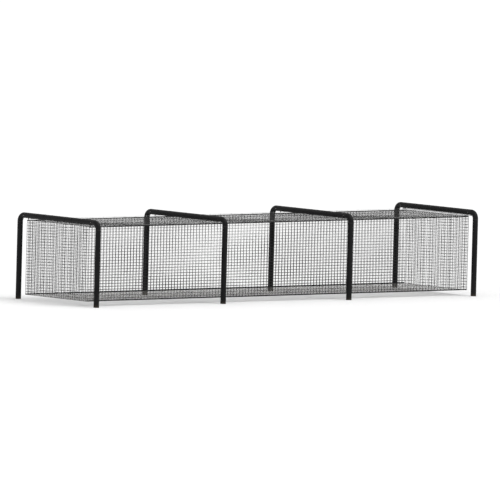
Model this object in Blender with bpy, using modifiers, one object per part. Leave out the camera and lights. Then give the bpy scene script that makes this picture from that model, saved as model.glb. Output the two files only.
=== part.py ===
"""Batting cage: four steel tube arches in a row, and a boxed net hung inside them on two cables.

Metres, +Z up. +X runs along the cage, near is -Y and far is +Y. The origin is on the ground plane,
under the middle of the cage. The lowest stretch of each post, below the hem of the net, is the part
that goes into the ground.
"""

import math

import bmesh
import bpy
from mathutils import Matrix, Vector

# Driving dimensions of the arches.
BAY = 7.112  # one arch to the next: 70 ft in three bays
FRAME_COUNT = 4
FRAME_WIDTH = 5.49  # post centre to post centre, 18 ft
BEAM_HEIGHT = 3.70  # middle of the beam above the feet
TUBE_RADIUS = 0.12225  # 9 5/8 in tube
TUBE_WALL = 0.0063
BEND_RADIUS = 0.28  # middle line of a corner
CORNER_STRAIGHT = 0.02  # straight lip at each end of a corner
SLEEVE_RADIUS = 0.1125  # the corner's reduced ends, which slide into post and beam
SLEEVE_WALL = 0.006
SLEEVE_LENGTH = 0.18
CAP_THICKNESS = 0.012
CAP_STUB = 0.04

# Driving dimensions of the net and of what carries it.
NET_HALF_WIDTH = 2.17
NET_HALF_LENGTH = 10.738
NET_HEM = 0.235
NET_TOP = 3.505
NET_THICKNESS = 0.004
LINE_HEIGHT = 3.545  # cables and curtain rail
CABLE_RADIUS = 0.00475
DOOR_WIDTH = 1.2
CURTAIN_OVERLAP = 0.12
CURTAIN_X = 10.764  # middle of the curtain and of its rail

# Hardware on the cables.
LUG_RADIUS = 0.024
LUG_HOLE = 0.011
LUG_THICKNESS = 0.010
EYE_RADIUS = 0.024  # middle of the wire of a closed eye
EYE_WIRE = 0.006
SHANK_RADIUS = 0.007
SOCKET_RADIUS = 0.010
SHANK_END = 0.200  # these lengths run from the middle of the end arch, along the cable
BODY_START = 0.140
BODY_END = 0.360
STUD_START = 0.300
SOCKET_START = 0.425
CABLE_START = 0.500
TERMINAL_LENGTH = 0.160
BODY_BORE = 0.009
BODY_RADIUS = 0.015
COLLAR_RADIUS = 0.017
COLLAR_LENGTH = 0.025
TOMMY_HOLE = 0.005

# Curtain rail, its hangers and its rings.
RAIL_RADIUS = 0.01345
RAIL_WALL = 0.0026
RAIL_HALF_LENGTH = 2.45
HANGER_Y = 2.35
HANGER_EYE = 0.025
HANGER_HOLE = 0.0142
HANGER_THICKNESS = 0.010
RING_RADIUS = 0.022
RING_WIRE = 0.003
RING_COUNT = 4
RING_INSET = 0.05

GAP = 0.0003  # between pieces that touch
TUBE_SIDES = 16
ROUND_SIDES = 12
MERGE = 0.0001

SIDES = {"near": -1, "far": 1}
END_X = BAY * (FRAME_COUNT - 1) / 2

COLLECTION = bpy.data.collections.new("batting_cage")
CUTTERS = bpy.data.collections.new("cutters")
FINISHES = {
    "frame": ((0.016, 0.016, 0.018), 0.42, 0.6),
    "hardware": ((0.55, 0.56, 0.58), 0.38, 1.0),
    "cable": ((0.40, 0.41, 0.42), 0.45, 1.0),
    "net": ((0.020, 0.020, 0.022), 0.85, 0.0),
}


def clear_scene():
    """Start from an empty scene with one collection for the cage and one for its cutters."""
    for obj in list(bpy.data.objects):
        bpy.data.objects.remove(obj, do_unlink=True)
    for collection in (COLLECTION, CUTTERS):
        bpy.context.scene.collection.children.link(collection)


def finish_of(name, kind):
    """Give each piece its own material, from the finish of its kind."""
    colour, roughness, metallic = FINISHES[kind]
    mat = bpy.data.materials.new(name)
    mat.use_nodes = True
    shader = mat.node_tree.nodes["Principled BSDF"]
    shader.inputs["Base Color"].default_value = (*colour, 1.0)
    shader.inputs["Roughness"].default_value = roughness
    shader.inputs["Metallic"].default_value = metallic
    return mat


def place(name, data, kind, location=(0, 0, 0), rotation=(0, 0, 0)):
    """Put mesh or curve data in the cage's collection as one named piece."""
    obj = bpy.data.objects.new(name, data)
    data.materials.append(finish_of(name, kind))
    obj.location = location
    obj.rotation_euler = rotation
    COLLECTION.objects.link(obj)
    return obj


def cutter(name, data, location=(0, 0, 0), rotation=(0, 0, 0)):
    """Put mesh data among the cutters, out of the finished object."""
    obj = bpy.data.objects.new(name, data)
    obj.location = location
    obj.rotation_euler = rotation
    obj.hide_render = True
    obj.display_type = "WIRE"
    CUTTERS.objects.link(obj)
    return obj


def combine(obj, other, operation):
    """Cut obj with other, or join other to it."""
    mod = obj.modifiers.new(operation.lower(), "BOOLEAN")
    mod.operation = operation
    mod.object = other
    mod.solver = "EXACT"


def smooth(obj, angle=40):
    """Shade a round piece smooth, with its edges kept sharp."""
    obj.data.shade_smooth()
    obj.data.set_sharp_from_angle(angle=math.radians(angle))


def profile_mesh(name, points, closed):
    """A profile of (radius, height) points in the XZ plane, for a Screw modifier."""
    mesh = bpy.data.meshes.new(name)
    count = len(points)
    edges = [(i, i + 1) for i in range(count - 1)]
    if closed:
        edges.append((count - 1, 0))
    mesh.from_pydata([(radius, 0.0, height) for radius, height in points], edges, [])
    return mesh


def turned(name, points, kind, location, rotation=(0, 0, 0), sides=TUBE_SIDES, closed=False):
    """A piece turned about its own Z axis. The profile runs down its outer side."""
    obj = place(name, profile_mesh(name, points, closed), kind, location, rotation)
    screw = obj.modifiers.new("turn", "SCREW")
    screw.steps = sides
    screw.render_steps = sides
    screw.use_merge_vertices = True
    screw.merge_threshold = MERGE
    return obj


def pipe_profile(outer, inner, low, high):
    """The section of a plain pipe between two heights."""
    return [(outer, high), (outer, low), (inner, low), (inner, high)]


def path_mesh(name, points, radius, sides):
    """A solid round bar along a path, as a closed mesh."""
    curve = bpy.data.curves.new(name, "CURVE")
    curve.dimensions = "3D"
    curve.bevel_depth = radius
    curve.bevel_resolution = (sides - 4) // 2
    curve.use_fill_caps = True
    spline = curve.splines.new("POLY")
    spline.points.add(len(points) - 1)
    for point, position in zip(spline.points, points):
        point.co = (*position, 1.0)
    guide = bpy.data.objects.new(name, curve)
    CUTTERS.objects.link(guide)
    evaluated = guide.evaluated_get(bpy.context.evaluated_depsgraph_get())
    mesh = bpy.data.meshes.new_from_object(evaluated)
    weld(mesh)
    bpy.data.objects.remove(guide, do_unlink=True)
    return mesh


def weld(mesh):
    """Close the loose caps of a bar made from a curve, with its faces pointing out."""
    work = bmesh.new()
    work.from_mesh(mesh)
    bmesh.ops.remove_doubles(work, verts=work.verts, dist=MERGE)
    bmesh.ops.recalc_face_normals(work, faces=work.faces)
    work.to_mesh(mesh)
    work.free()


def bar_mesh(name, radius, start, end, axis="Z", sides=ROUND_SIDES):
    """A solid round bar along X or Z, from start to end."""
    turn = Matrix.Rotation(math.pi / 2, 4, "Y") if axis == "X" else Matrix.Identity(4)
    mesh = bpy.data.meshes.new(name)
    work = bmesh.new()
    bmesh.ops.create_cone(
        work,
        cap_ends=True,
        segments=sides,
        radius1=radius,
        radius2=radius,
        depth=end - start,
        matrix=turn @ Matrix.Translation((0, 0, (start + end) / 2)),
    )
    work.to_mesh(mesh)
    work.free()
    return mesh


def box(name, low, high, kind):
    """A plain sheet or block between two corners, with its origin at its middle."""
    low, high = Vector(low), Vector(high)
    mesh = bpy.data.meshes.new(name)
    work = bmesh.new()
    bmesh.ops.create_cube(work, size=1.0)
    bmesh.ops.scale(work, vec=high - low, verts=work.verts)
    work.to_mesh(mesh)
    work.free()
    return place(name, mesh, kind, (low + high) / 2)


def ring(name, radius, wire, kind, location, rotation=(0, 0, 0), around=16, across=8):
    """A closed ring of round wire, lying in its own XY plane."""
    bpy.ops.mesh.primitive_torus_add(
        major_radius=radius, minor_radius=wire, major_segments=around, minor_segments=across
    )
    made = bpy.context.active_object
    mesh = made.data
    bpy.data.objects.remove(made, do_unlink=True)
    mesh.name = name
    mesh.shade_smooth()
    return place(name, mesh, kind, location, rotation)


def plate(name, outline, thickness, kind, location, rotation):
    """A flat plate, extruded both ways from an outline in its own XY plane."""
    curve = bpy.data.curves.new(name, "CURVE")
    curve.dimensions = "2D"
    curve.fill_mode = "BOTH"
    curve.extrude = thickness / 2
    spline = curve.splines.new("POLY")
    spline.points.add(len(outline) - 1)
    spline.use_cyclic_u = True
    for point, (x, y) in zip(spline.points, outline):
        point.co = (x, y, 0.0, 1.0)
    guide = bpy.data.objects.new(name, curve)
    CUTTERS.objects.link(guide)
    evaluated = guide.evaluated_get(bpy.context.evaluated_depsgraph_get())
    mesh = bpy.data.meshes.new_from_object(evaluated)
    weld(mesh)
    bpy.data.objects.remove(guide, do_unlink=True)
    return place(name, mesh, kind, location, rotation)


def arc(centre, radius, start, end, steps):
    """Points along an arc, in degrees, as (x, y) pairs."""
    angles = [math.radians(start + (end - start) * i / steps) for i in range(steps + 1)]
    return [(centre[0] + radius * math.cos(a), centre[1] + radius * math.sin(a)) for a in angles]


def corner_path(side, straight, steps=4):
    """The middle line of a corner, from the post's top round to the beam, in the YZ plane."""
    centre_y = FRAME_WIDTH / 2 - BEND_RADIUS
    centre_z = BEAM_HEIGHT - BEND_RADIUS
    bend = arc((centre_y, centre_z), BEND_RADIUS, 0, 90, steps)
    points = [(FRAME_WIDTH / 2, centre_z - straight), *bend, (centre_y - straight, BEAM_HEIGHT)]
    return [Vector((0, side * y, z)) for y, z in points]


def make_corner(name, side, x):
    """A bent corner with a reduced sleeve at each end."""
    reach = CORNER_STRAIGHT + SLEEVE_LENGTH
    bore_radius = SLEEVE_RADIUS - SLEEVE_WALL
    shell = path_mesh(name, corner_path(side, CORNER_STRAIGHT), TUBE_RADIUS, TUBE_SIDES)
    sleeve = path_mesh(f"{name}_sleeve", corner_path(side, reach), SLEEVE_RADIUS, TUBE_SIDES)
    bore = path_mesh(f"{name}_bore", corner_path(side, reach + SLEEVE_WALL), bore_radius, TUBE_SIDES)
    corner = place(name, shell, "frame", (x, 0, 0))
    combine(corner, cutter(f"{name}_sleeve", sleeve, (x, 0, 0)), "UNION")
    combine(corner, cutter(f"{name}_bore", bore, (x, 0, 0)), "DIFFERENCE")
    smooth(corner)


def make_foot(name, x, y):
    """The cap that closes the foot of a post, with a stub that fits inside it."""
    top = CAP_THICKNESS + CAP_STUB
    profile = [(0, top), (SLEEVE_RADIUS, top), (SLEEVE_RADIUS, CAP_THICKNESS)]
    profile += [(TUBE_RADIUS, CAP_THICKNESS), (TUBE_RADIUS, 0), (0, 0)]
    turned(name, profile, "frame", (x, y, 0))


def strap_outline(away, eye_radius, steps=4):
    """The outline of a strap from a beam's round side to an eye, with the eye at its origin.

    away runs from the beam's middle to the eye's, in the plane of the strap.
    """
    lean = math.degrees(math.atan2(away.y, away.x))
    reach = TUBE_RADIUS + GAP
    half = math.degrees(math.asin(eye_radius / reach))
    top = arc(-away, reach, lean + half, lean - half, steps)
    return top + arc((0, 0), eye_radius, lean - 90, lean + 90, 2 * steps)


def make_lug(name, x, y, across):
    """A flat lug under a beam. across turns it so that its hole lies along the cable."""
    rotation = (math.pi / 2, 0, math.pi / 2 if across else 0)
    outline = strap_outline(Vector((0, LINE_HEIGHT - BEAM_HEIGHT)), LUG_RADIUS)
    if across:
        rise = BEAM_HEIGHT - TUBE_RADIUS - GAP - LINE_HEIGHT
        outline = [(LUG_RADIUS, rise), (-LUG_RADIUS, rise), *arc((0, 0), LUG_RADIUS, 180, 360, 8)]
    lug = plate(name, outline, LUG_THICKNESS, "hardware", (x, y, LINE_HEIGHT), rotation)
    hole = bar_mesh(f"{name}_hole", LUG_HOLE, -LUG_THICKNESS, LUG_THICKNESS)
    combine(lug, cutter(f"{name}_hole", hole, (x, y, LINE_HEIGHT), rotation), "DIFFERENCE")


def make_arch(number):
    """One arch: two capped posts, two corners, a beam and the lugs for the cables."""
    x = BAY * (number - 1) - END_X
    inner = TUBE_RADIUS - TUBE_WALL
    post_top = BEAM_HEIGHT - BEND_RADIUS - CORNER_STRAIGHT - GAP
    beam_half = FRAME_WIDTH / 2 - BEND_RADIUS - CORNER_STRAIGHT - GAP
    is_end = number in (1, FRAME_COUNT)
    for side, sign in SIDES.items():
        y = sign * FRAME_WIDTH / 2
        label = f"frame_{number}_{side}"
        make_foot(f"{label}_foot_cap", x, y)
        post = pipe_profile(TUBE_RADIUS, inner, CAP_THICKNESS + GAP, post_top)
        turned(f"{label}_post", post, "frame", (x, y, 0), closed=True)
        make_corner(f"{label}_corner", sign, x)
        make_lug(f"{label}_lug", x, sign * NET_HALF_WIDTH, across=not is_end)
    beam = pipe_profile(TUBE_RADIUS, inner, -beam_half, beam_half)
    turned(f"frame_{number}_beam", beam, "frame", (x, 0, BEAM_HEIGHT), (math.pi / 2, 0, 0), closed=True)


def make_eye(name, y, end, reach, socket_start=None):
    """A closed eye through an end lug, with its shank along the cable. end is -1 at the left."""
    x = end * END_X
    inward = -end
    turn = (0, 0, 0 if inward > 0 else math.pi)
    location = (x, y, LINE_HEIGHT)
    eye = ring(name, EYE_RADIUS, EYE_WIRE, "hardware", location, turn)
    eye.data.transform(Matrix.Translation((EYE_RADIUS, 0, 0)))
    shank_start = 2 * EYE_RADIUS - EYE_WIRE / 2
    shank = bar_mesh(f"{name}_shank", SHANK_RADIUS, shank_start, reach, "X")
    combine(eye, cutter(f"{name}_shank", shank, location, turn), "UNION")
    if socket_start is not None:
        socket = bar_mesh(f"{name}_socket", SOCKET_RADIUS, socket_start, reach + EYE_WIRE, "X")
        combine(eye, cutter(f"{name}_socket", socket, location, turn), "UNION")


def make_turnbuckle(side, y):
    """The tensioner at the left end of a cable: an eye, a body and a stud with a socket."""
    start = -END_X
    make_eye(f"{side}_turnbuckle_eye", y, -1, SHANK_END)
    half = (BODY_END - BODY_START) / 2
    collar = half - COLLAR_LENGTH
    outside = [(COLLAR_RADIUS, half), (COLLAR_RADIUS, collar), (BODY_RADIUS, collar - 0.004)]
    mirrored = [(radius, -height) for radius, height in reversed(outside)]
    profile = outside + mirrored + [(BODY_BORE, -half), (BODY_BORE, half)]
    middle = (start + (BODY_START + BODY_END) / 2, y, LINE_HEIGHT)
    along_x = (0, math.pi / 2, 0)
    name = f"{side}_turnbuckle_body"
    body = turned(name, profile, "hardware", middle, along_x, sides=ROUND_SIDES, closed=True)
    tommy = bar_mesh(f"{name}_hole", TOMMY_HOLE, -2 * BODY_RADIUS, 2 * BODY_RADIUS, "Z", 8)
    combine(body, cutter(f"{name}_hole", tommy, middle), "DIFFERENCE")
    stud = [(0, CABLE_START), (SOCKET_RADIUS, CABLE_START), (SOCKET_RADIUS, SOCKET_START)]
    stud += [(SHANK_RADIUS, SOCKET_START), (SHANK_RADIUS, STUD_START), (0, STUD_START)]
    name = f"{side}_turnbuckle_stud"
    turned(name, stud, "hardware", (start, y, LINE_HEIGHT), along_x, sides=ROUND_SIDES)


def make_cable(side, sign):
    """One tensioned cable with its turnbuckle at the left and its terminal at the right."""
    y = sign * NET_HALF_WIDTH
    make_turnbuckle(side, y)
    make_eye(f"{side}_cable_terminal", y, 1, TERMINAL_LENGTH, socket_start=TERMINAL_LENGTH / 2)
    low = -END_X + CABLE_START + GAP
    high = END_X - TERMINAL_LENGTH - EYE_WIRE - GAP
    name = f"{side}_cable"
    mesh = bar_mesh(name, CABLE_RADIUS, low, high, "X")
    smooth(place(name, mesh, "cable", (0, y, LINE_HEIGHT)))


def make_net():
    """The six fixed panels of the net, as plain thin sheets: walls, roof, floor and ends."""
    thin = NET_THICKNESS / 2
    length = NET_HALF_LENGTH
    width = NET_HALF_WIDTH
    for side, sign in SIDES.items():
        y = sign * width
        box(f"net_{side}_wall", (-length, y - thin, NET_HEM), (length, y + thin, NET_TOP), "net")
    layers = {"net_roof": NET_TOP + GAP, "net_floor": NET_HEM - GAP - NET_THICKNESS}
    for name, low in layers.items():
        high = low + NET_THICKNESS
        box(name, (-length, -width - thin, low), (length, width + thin, high), "net")
    inside = width - thin - GAP
    end_low, end_high = length - NET_THICKNESS, length
    door_edge = DOOR_WIDTH - width
    box("net_left_end", (-end_high, -inside, NET_HEM), (-end_low, inside, NET_TOP), "net")
    box("net_right_end", (end_low, door_edge, NET_HEM), (end_high, inside, NET_TOP), "net")


def make_hanger(name, y):
    """A strap under the right-hand beam that holds the curtain rail."""
    away = Vector((CURTAIN_X - END_X, LINE_HEIGHT - BEAM_HEIGHT))
    location = (CURTAIN_X, y, LINE_HEIGHT)
    upright = (math.pi / 2, 0, 0)
    outline = strap_outline(away, HANGER_EYE)
    hanger = plate(name, outline, HANGER_THICKNESS, "hardware", location, upright)
    hole = bar_mesh(f"{name}_hole", HANGER_HOLE, -HANGER_THICKNESS, HANGER_THICKNESS, sides=TUBE_SIDES)
    combine(hanger, cutter(f"{name}_hole", hole, location, upright), "DIFFERENCE")


def make_curtain():
    """The rail under the right-hand beam, and the curtain of net that slides along it."""
    along_y = (math.pi / 2, 0, 0)
    rail = pipe_profile(RAIL_RADIUS, RAIL_RADIUS - RAIL_WALL, -RAIL_HALF_LENGTH, RAIL_HALF_LENGTH)
    where = (CURTAIN_X, 0, LINE_HEIGHT)
    turned("curtain_rail", rail, "hardware", where, along_y, sides=ROUND_SIDES, closed=True)
    for side, sign in SIDES.items():
        make_hanger(f"curtain_rail_{side}_hanger", sign * HANGER_Y)
    slide = bpy.data.objects.new("entry_curtain_slide", None)
    slide.location = (CURTAIN_X, -NET_HALF_WIDTH, LINE_HEIGHT)
    COLLECTION.objects.link(slide)
    ring_height = RAIL_RADIUS + GAP - (RING_RADIUS - RING_WIRE)
    curtain_width = DOOR_WIDTH + CURTAIN_OVERLAP
    thin = NET_THICKNESS / 2
    top = LINE_HEIGHT + ring_height - RING_RADIUS - RING_WIRE - GAP
    low = (CURTAIN_X - thin, -NET_HALF_WIDTH, NET_HEM)
    high = (CURTAIN_X + thin, curtain_width - NET_HALF_WIDTH, top)
    pieces = [box("entry_curtain", low, high, "net")]
    pitch = (curtain_width - 2 * RING_INSET) / (RING_COUNT - 1)
    for i in range(RING_COUNT):
        place_y = RING_INSET + pitch * i - NET_HALF_WIDTH
        spot = (CURTAIN_X, place_y, LINE_HEIGHT + ring_height)
        name = f"curtain_ring_{i + 1}"
        pieces.append(ring(name, RING_RADIUS, RING_WIRE, "hardware", spot, along_y, across=6))
    bpy.context.view_layer.update()
    for piece in pieces:
        piece.parent = slide
        piece.matrix_parent_inverse = slide.matrix_world.inverted()


def main():
    """Build the whole cage."""
    clear_scene()
    for number in range(1, FRAME_COUNT + 1):
        make_arch(number)
    for side, sign in SIDES.items():
        make_cable(side, sign)
    make_net()
    make_curtain()


main()
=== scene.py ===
"""Batting cage: the finished surfaces of four steel tube arches and of the net hung inside them.

Metres, +Z up. +X runs along the cage, near is -Y and far is +Y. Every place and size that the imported
frame holds is read from it. The rest are the fields of the class that builds the piece.
"""

import logging
import math
from collections.abc import Sequence
from dataclasses import dataclass, field
from enum import Enum

import bmesh
import bpy
import numpy as np
from mathutils import Matrix, Vector


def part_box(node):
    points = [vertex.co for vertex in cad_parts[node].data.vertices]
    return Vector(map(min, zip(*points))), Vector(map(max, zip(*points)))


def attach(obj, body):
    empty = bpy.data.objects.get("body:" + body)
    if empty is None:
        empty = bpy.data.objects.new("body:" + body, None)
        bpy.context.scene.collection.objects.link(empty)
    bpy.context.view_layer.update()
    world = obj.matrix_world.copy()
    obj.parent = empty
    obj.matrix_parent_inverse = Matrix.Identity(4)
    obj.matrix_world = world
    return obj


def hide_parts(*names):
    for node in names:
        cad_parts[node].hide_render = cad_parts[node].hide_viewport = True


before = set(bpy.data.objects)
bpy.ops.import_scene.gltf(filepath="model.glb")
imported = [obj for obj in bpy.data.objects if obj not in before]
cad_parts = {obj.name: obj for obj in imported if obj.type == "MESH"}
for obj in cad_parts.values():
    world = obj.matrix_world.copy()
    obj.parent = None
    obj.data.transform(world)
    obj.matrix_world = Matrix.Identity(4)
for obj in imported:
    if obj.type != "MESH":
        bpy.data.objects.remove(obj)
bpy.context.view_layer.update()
LOG = logging.getLogger("batting_cage")

Point2 = tuple[float, float]
Colour = tuple[float, float, float, float]
Socket = bpy.types.NodeSocket
Sockets = bpy.types.bpy_prop_collection
X, Y, Z = Vector((1, 0, 0)), Vector((0, 1, 0)), Vector((0, 0, 1))
ROUND = 48  # sides of a large round
FINE = 24  # sides of a small round
SHARP = 35.0  # degrees above which an edge stays sharp
PITCH = 0.042  # square mesh of the net
ROPE_INSET = 0.002  # from the net's box to the middle of a border rope at either end


class Body(Enum):
    """The bodies that a piece can ride on."""

    CAGE = "cage"
    NEAR_TURNBUCKLE = "near_turnbuckle"
    FAR_TURNBUCKLE = "far_turnbuckle"
    CURTAIN = "entry_curtain"


class Slot(Enum):
    """The material slots."""

    FRAME_PAINT = "frame_paint"
    GALVANISED = "galvanised_steel"
    CABLE_WIRE = "cable_wire"
    NETTING = "netting"


class Side(Enum):
    """The two long sides of the cage, with the sign of Y on each."""

    NEAR = -1
    FAR = 1

    @property
    def label(self) -> str:
        """The word that the side has in names."""
        return self.name.lower()


# Shader node groups ---------------------------------------------------------------------------------


class Graph:
    """A node tree with short calls that place nodes and join them."""

    def __init__(self, tree: bpy.types.NodeTree) -> None:
        """Keep the tree that is drawn on."""
        self.tree = tree

    def add(self, kind: str, settings: dict | None = None, **inputs: Socket | float) -> bpy.types.Node:
        """Place a node.

        Args:
            kind: The node's type, without the ShaderNode that its full name starts with.
            settings: Values for the node's own properties.
            inputs: Values or output sockets for its inputs, with _ for a space in a name.

        Returns:
            The new node.
        """
        node = self.tree.nodes.new(f"ShaderNode{kind}")
        for name, value in (settings or {}).items():
            setattr(node, name, value)
        for name, value in inputs.items():
            self.feed(node.inputs[name.replace("_", " ")], value)
        return node

    def feed(self, socket: Socket, value: Socket | float | Colour) -> None:
        """Join an output to a socket, or set the socket to a plain value.

        Args:
            socket: The input that is fed.
            value: An output socket or a plain value.
        """
        if isinstance(value, Socket):
            self.tree.links.new(value, socket)
        else:
            socket.default_value = value

    def math(
        self,
        operation: str,
        first: Socket | float,
        second: Socket | float = 0.0,
        third: Socket | float = 0.0,
        clamp: bool = False,
    ) -> Socket:
        """Work out one number from others.

        Args:
            operation: The name of a Math node's operation.
            first: A value or an output socket.
            second: A value or an output socket.
            third: What MULTIPLY_ADD adds.
            clamp: Whether the result stays between 0 and 1.

        Returns:
            The result's socket.
        """
        node = self.add("Math", {"operation": operation, "use_clamp": clamp})
        for socket, value in zip(node.inputs, (first, second, third)):
            self.feed(socket, value)
        return node.outputs[0]

    def ramp(
        self, value: Socket, low: float, high: float, start: float = 0.0, end: float = 1.0
    ) -> Socket:
        """Stretch one range over another and clamp it.

        Args:
            value: The output socket that is stretched.
            low: The value that gives the start.
            high: The value that gives the end.
            start: The result at low.
            end: The result at high.

        Returns:
            The result's socket.
        """
        node = self.add("MapRange", {"clamp": True}, Value=value, From_Min=low, From_Max=high)
        self.feed(node.inputs["To Min"], start)
        self.feed(node.inputs["To Max"], end)
        return node.outputs["Result"]

    def mix(
        self,
        factor: Socket | float,
        first: Socket | Colour,
        second: Socket | Colour,
        blend: str = "MIX",
    ) -> Socket:
        """Blend two colours.

        Args:
            factor: How much of the second colour shows.
            first: A colour or an output socket.
            second: A colour or an output socket.
            blend: The name of the blend.

        Returns:
            The blend's socket.
        """
        node = self.add("Mix", {"data_type": "RGBA", "blend_type": blend})
        factor_input, first_input, second_input = 0, 6, 7
        self.feed(node.inputs[factor_input], factor)
        self.feed(node.inputs[first_input], first)
        self.feed(node.inputs[second_input], second)
        colour_output = 2
        return node.outputs[colour_output]

    def noise(self, size: Socket, detail: float) -> Socket:
        """Place even noise from 0 to 1 over object space.

        Args:
            size: The socket with the size of its patches.
            detail: How many finer layers it has.

        Returns:
            The noise's socket.
        """
        scale = self.math("DIVIDE", 1.0, size)
        place = self.add("TexCoord").outputs["Object"]
        return self.add("TexNoise", Vector=place, Scale=scale, Detail=detail).outputs["Fac"]


class Effect:
    """A shader node group that is made once and placed in many materials."""

    name = "effect"
    inputs: dict[str, float] = {}
    outputs: tuple[str, ...] = ("Mask",)

    def tree(self) -> bpy.types.NodeTree:
        """Make the effect's group, the first time that it is asked for.

        Returns:
            The group.
        """
        made = bpy.data.node_groups.get(self.name)
        if made:
            return made
        made = bpy.data.node_groups.new(self.name, "ShaderNodeTree")
        for label, value in self.inputs.items():
            socket = made.interface.new_socket(label, in_out="INPUT", socket_type="NodeSocketFloat")
            socket.default_value = value
        for label in self.outputs:
            made.interface.new_socket(label, in_out="OUTPUT", socket_type="NodeSocketFloat")
        given = made.nodes.new("NodeGroupInput").outputs
        put_out = made.nodes.new("NodeGroupOutput").inputs
        self.draw(Graph(made), given, put_out)
        return made

    def draw(self, graph: Graph, given: Sockets, put_out: Sockets) -> None:
        """Fill the group.

        Args:
            graph: The group's tree.
            given: The sockets that carry its inputs.
            put_out: The sockets that take its outputs.
        """
        raise NotImplementedError

    def place(self, graph: Graph, **values: float) -> Sockets:
        """Put the group in a material.

        Args:
            graph: The material's tree.
            values: The group's inputs there, with _ for a space in a name.

        Returns:
            The group's outputs.
        """
        return graph.add("Group", {"node_tree": self.tree()}, **values).outputs


class EdgeWear(Effect):
    """Where a coat has rubbed off the proud edges, in broken patches."""

    name = "edge_wear"
    inputs = {"Amount": 0.5, "Patch Size": 0.02}
    proud = (0.53, 0.60)  # how sharp an edge starts to wear, and wears fully
    threshold = 0.75
    fringe = 0.12

    def draw(self, graph: Graph, given: Sockets, put_out: Sockets) -> None:
        """Multiply how sharp the surface is by patchy noise.

        Args:
            graph: The group's tree.
            given: The sockets that carry its inputs.
            put_out: The sockets that take its outputs.
        """
        proud = graph.ramp(graph.add("NewGeometry").outputs["Pointiness"], *self.proud)
        patches = graph.noise(given["Patch Size"], 4.0)
        kept = graph.math("SUBTRACT", graph.math("ADD", patches, given["Amount"]), self.threshold)
        worn = graph.math("MULTIPLY", proud, graph.ramp(kept, 0.0, self.fringe))
        graph.feed(put_out["Mask"], worn)


class GroundSoil(Effect):
    """Soil and splashes low down, which fade out upwards."""

    name = "ground_soil"
    inputs = {"Height": 0.4, "Speckle Size": 0.03}
    speckle_share = 0.9
    edge = (0.75, 1.25)  # where the soil starts, and where it is full

    def draw(self, graph: Graph, given: Sockets, put_out: Sockets) -> None:
        """Fade with height and break the edge with noise.

        Args:
            graph: The group's tree.
            given: The sockets that carry its inputs.
            put_out: The sockets that take its outputs.
        """
        place = graph.add("TexCoord").outputs["Object"]
        height = graph.add("SeparateXYZ", Vector=place).outputs["Z"]
        fade = graph.math("SUBTRACT", 1.0, graph.math("DIVIDE", height, given["Height"]), clamp=True)
        speckle = graph.noise(given["Speckle Size"], 6.0)
        both = graph.math("ADD", graph.math("MULTIPLY", speckle, self.speckle_share), fade)
        graph.feed(put_out["Mask"], graph.math("MULTIPLY", graph.ramp(both, *self.edge), fade))


class LyingDust(Effect):
    """Dust that settles on what faces up."""

    name = "lying_dust"
    inputs = {"Amount": 0.5, "Cloud Size": 0.25}
    facing_up = (0.25, 1.0)
    clouds = (0.3, 0.75)

    def draw(self, graph: Graph, given: Sockets, put_out: Sockets) -> None:
        """Take how far the surface faces up and cloud it with noise.

        Args:
            graph: The group's tree.
            given: The sockets that carry its inputs.
            put_out: The sockets that take its outputs.
        """
        normal = graph.add("NewGeometry").outputs["Normal"]
        up = graph.ramp(graph.add("SeparateXYZ", Vector=normal).outputs["Z"], *self.facing_up)
        cloud = graph.noise(given["Cloud Size"], 5.0)
        dusty = graph.math("MULTIPLY", up, graph.ramp(cloud, *self.clouds))
        graph.feed(put_out["Mask"], graph.math("MULTIPLY", dusty, given["Amount"]))


class Grain(Effect):
    """Fine, even unevenness, such as the orange peel of a coat or the grain of a casting."""

    name = "fine_grain"
    inputs = {"Size": 0.002}
    outputs = ("Value",)

    def draw(self, graph: Graph, given: Sockets, put_out: Sockets) -> None:
        """Put out one noise, as fine as the size says."""
        graph.feed(put_out["Value"], graph.noise(given["Size"], 2.0))


class Spangle(Effect):
    """The frosty patches of hot-dip zinc, each with its own tone."""

    name = "zinc_spangle"
    inputs = {"Size": 0.012}
    outputs = ("Value", "Height")

    def draw(self, graph: Graph, given: Sockets, put_out: Sockets) -> None:
        """Give each cell of a cell pattern one tone, and put out the distance in it as a height.

        Args:
            graph: The group's tree.
            given: The sockets that carry its inputs.
            put_out: The sockets that take its outputs.
        """
        place = graph.add("TexCoord").outputs["Object"]
        cells = graph.add("TexVoronoi", Vector=place, Scale=graph.math("DIVIDE", 1.0, given["Size"]))
        tone = graph.add("SeparateColor", Color=cells.outputs["Color"]).outputs["Red"]
        graph.feed(put_out["Value"], tone)
        graph.feed(put_out["Height"], cells.outputs["Distance"])


class Twist(Effect):
    """The lay of twisted strands, as slanting ridges along a cord of any direction."""

    name = "twisted_strands"
    inputs = {"Lay": 0.012}
    outputs = ("Height", "Shade")

    def draw(self, graph: Graph, given: Sockets, put_out: Sockets) -> None:
        """Run a sine along the sum of the three directions, with its grooves as shade.

        Args:
            graph: The group's tree.
            given: The sockets that carry its inputs.
            put_out: The sockets that take its outputs.
        """
        place = graph.add("SeparateXYZ", Vector=graph.add("TexCoord").outputs["Object"]).outputs
        total = graph.math("ADD", graph.math("ADD", place["X"], place["Y"]), place["Z"])
        turns = graph.math("MULTIPLY", graph.math("DIVIDE", total, given["Lay"]), math.tau)
        height = graph.math("MULTIPLY_ADD", graph.math("SINE", turns), 0.5, 0.5)
        graph.feed(put_out["Height"], height)
        graph.feed(put_out["Shade"], graph.math("POWER", height, 0.5, clamp=True))


# Finishes -------------------------------------------------------------------------------------------


def rgb(red: float, green: float, blue: float) -> Colour:
    """Return an opaque colour in linear light."""
    return (red, green, blue, 1.0)


def grey(tone: float, blue: float | None = None) -> Colour:
    """Return an opaque grey in linear light, with its own blue if that is given."""
    return rgb(tone, tone, tone if blue is None else blue)


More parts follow.
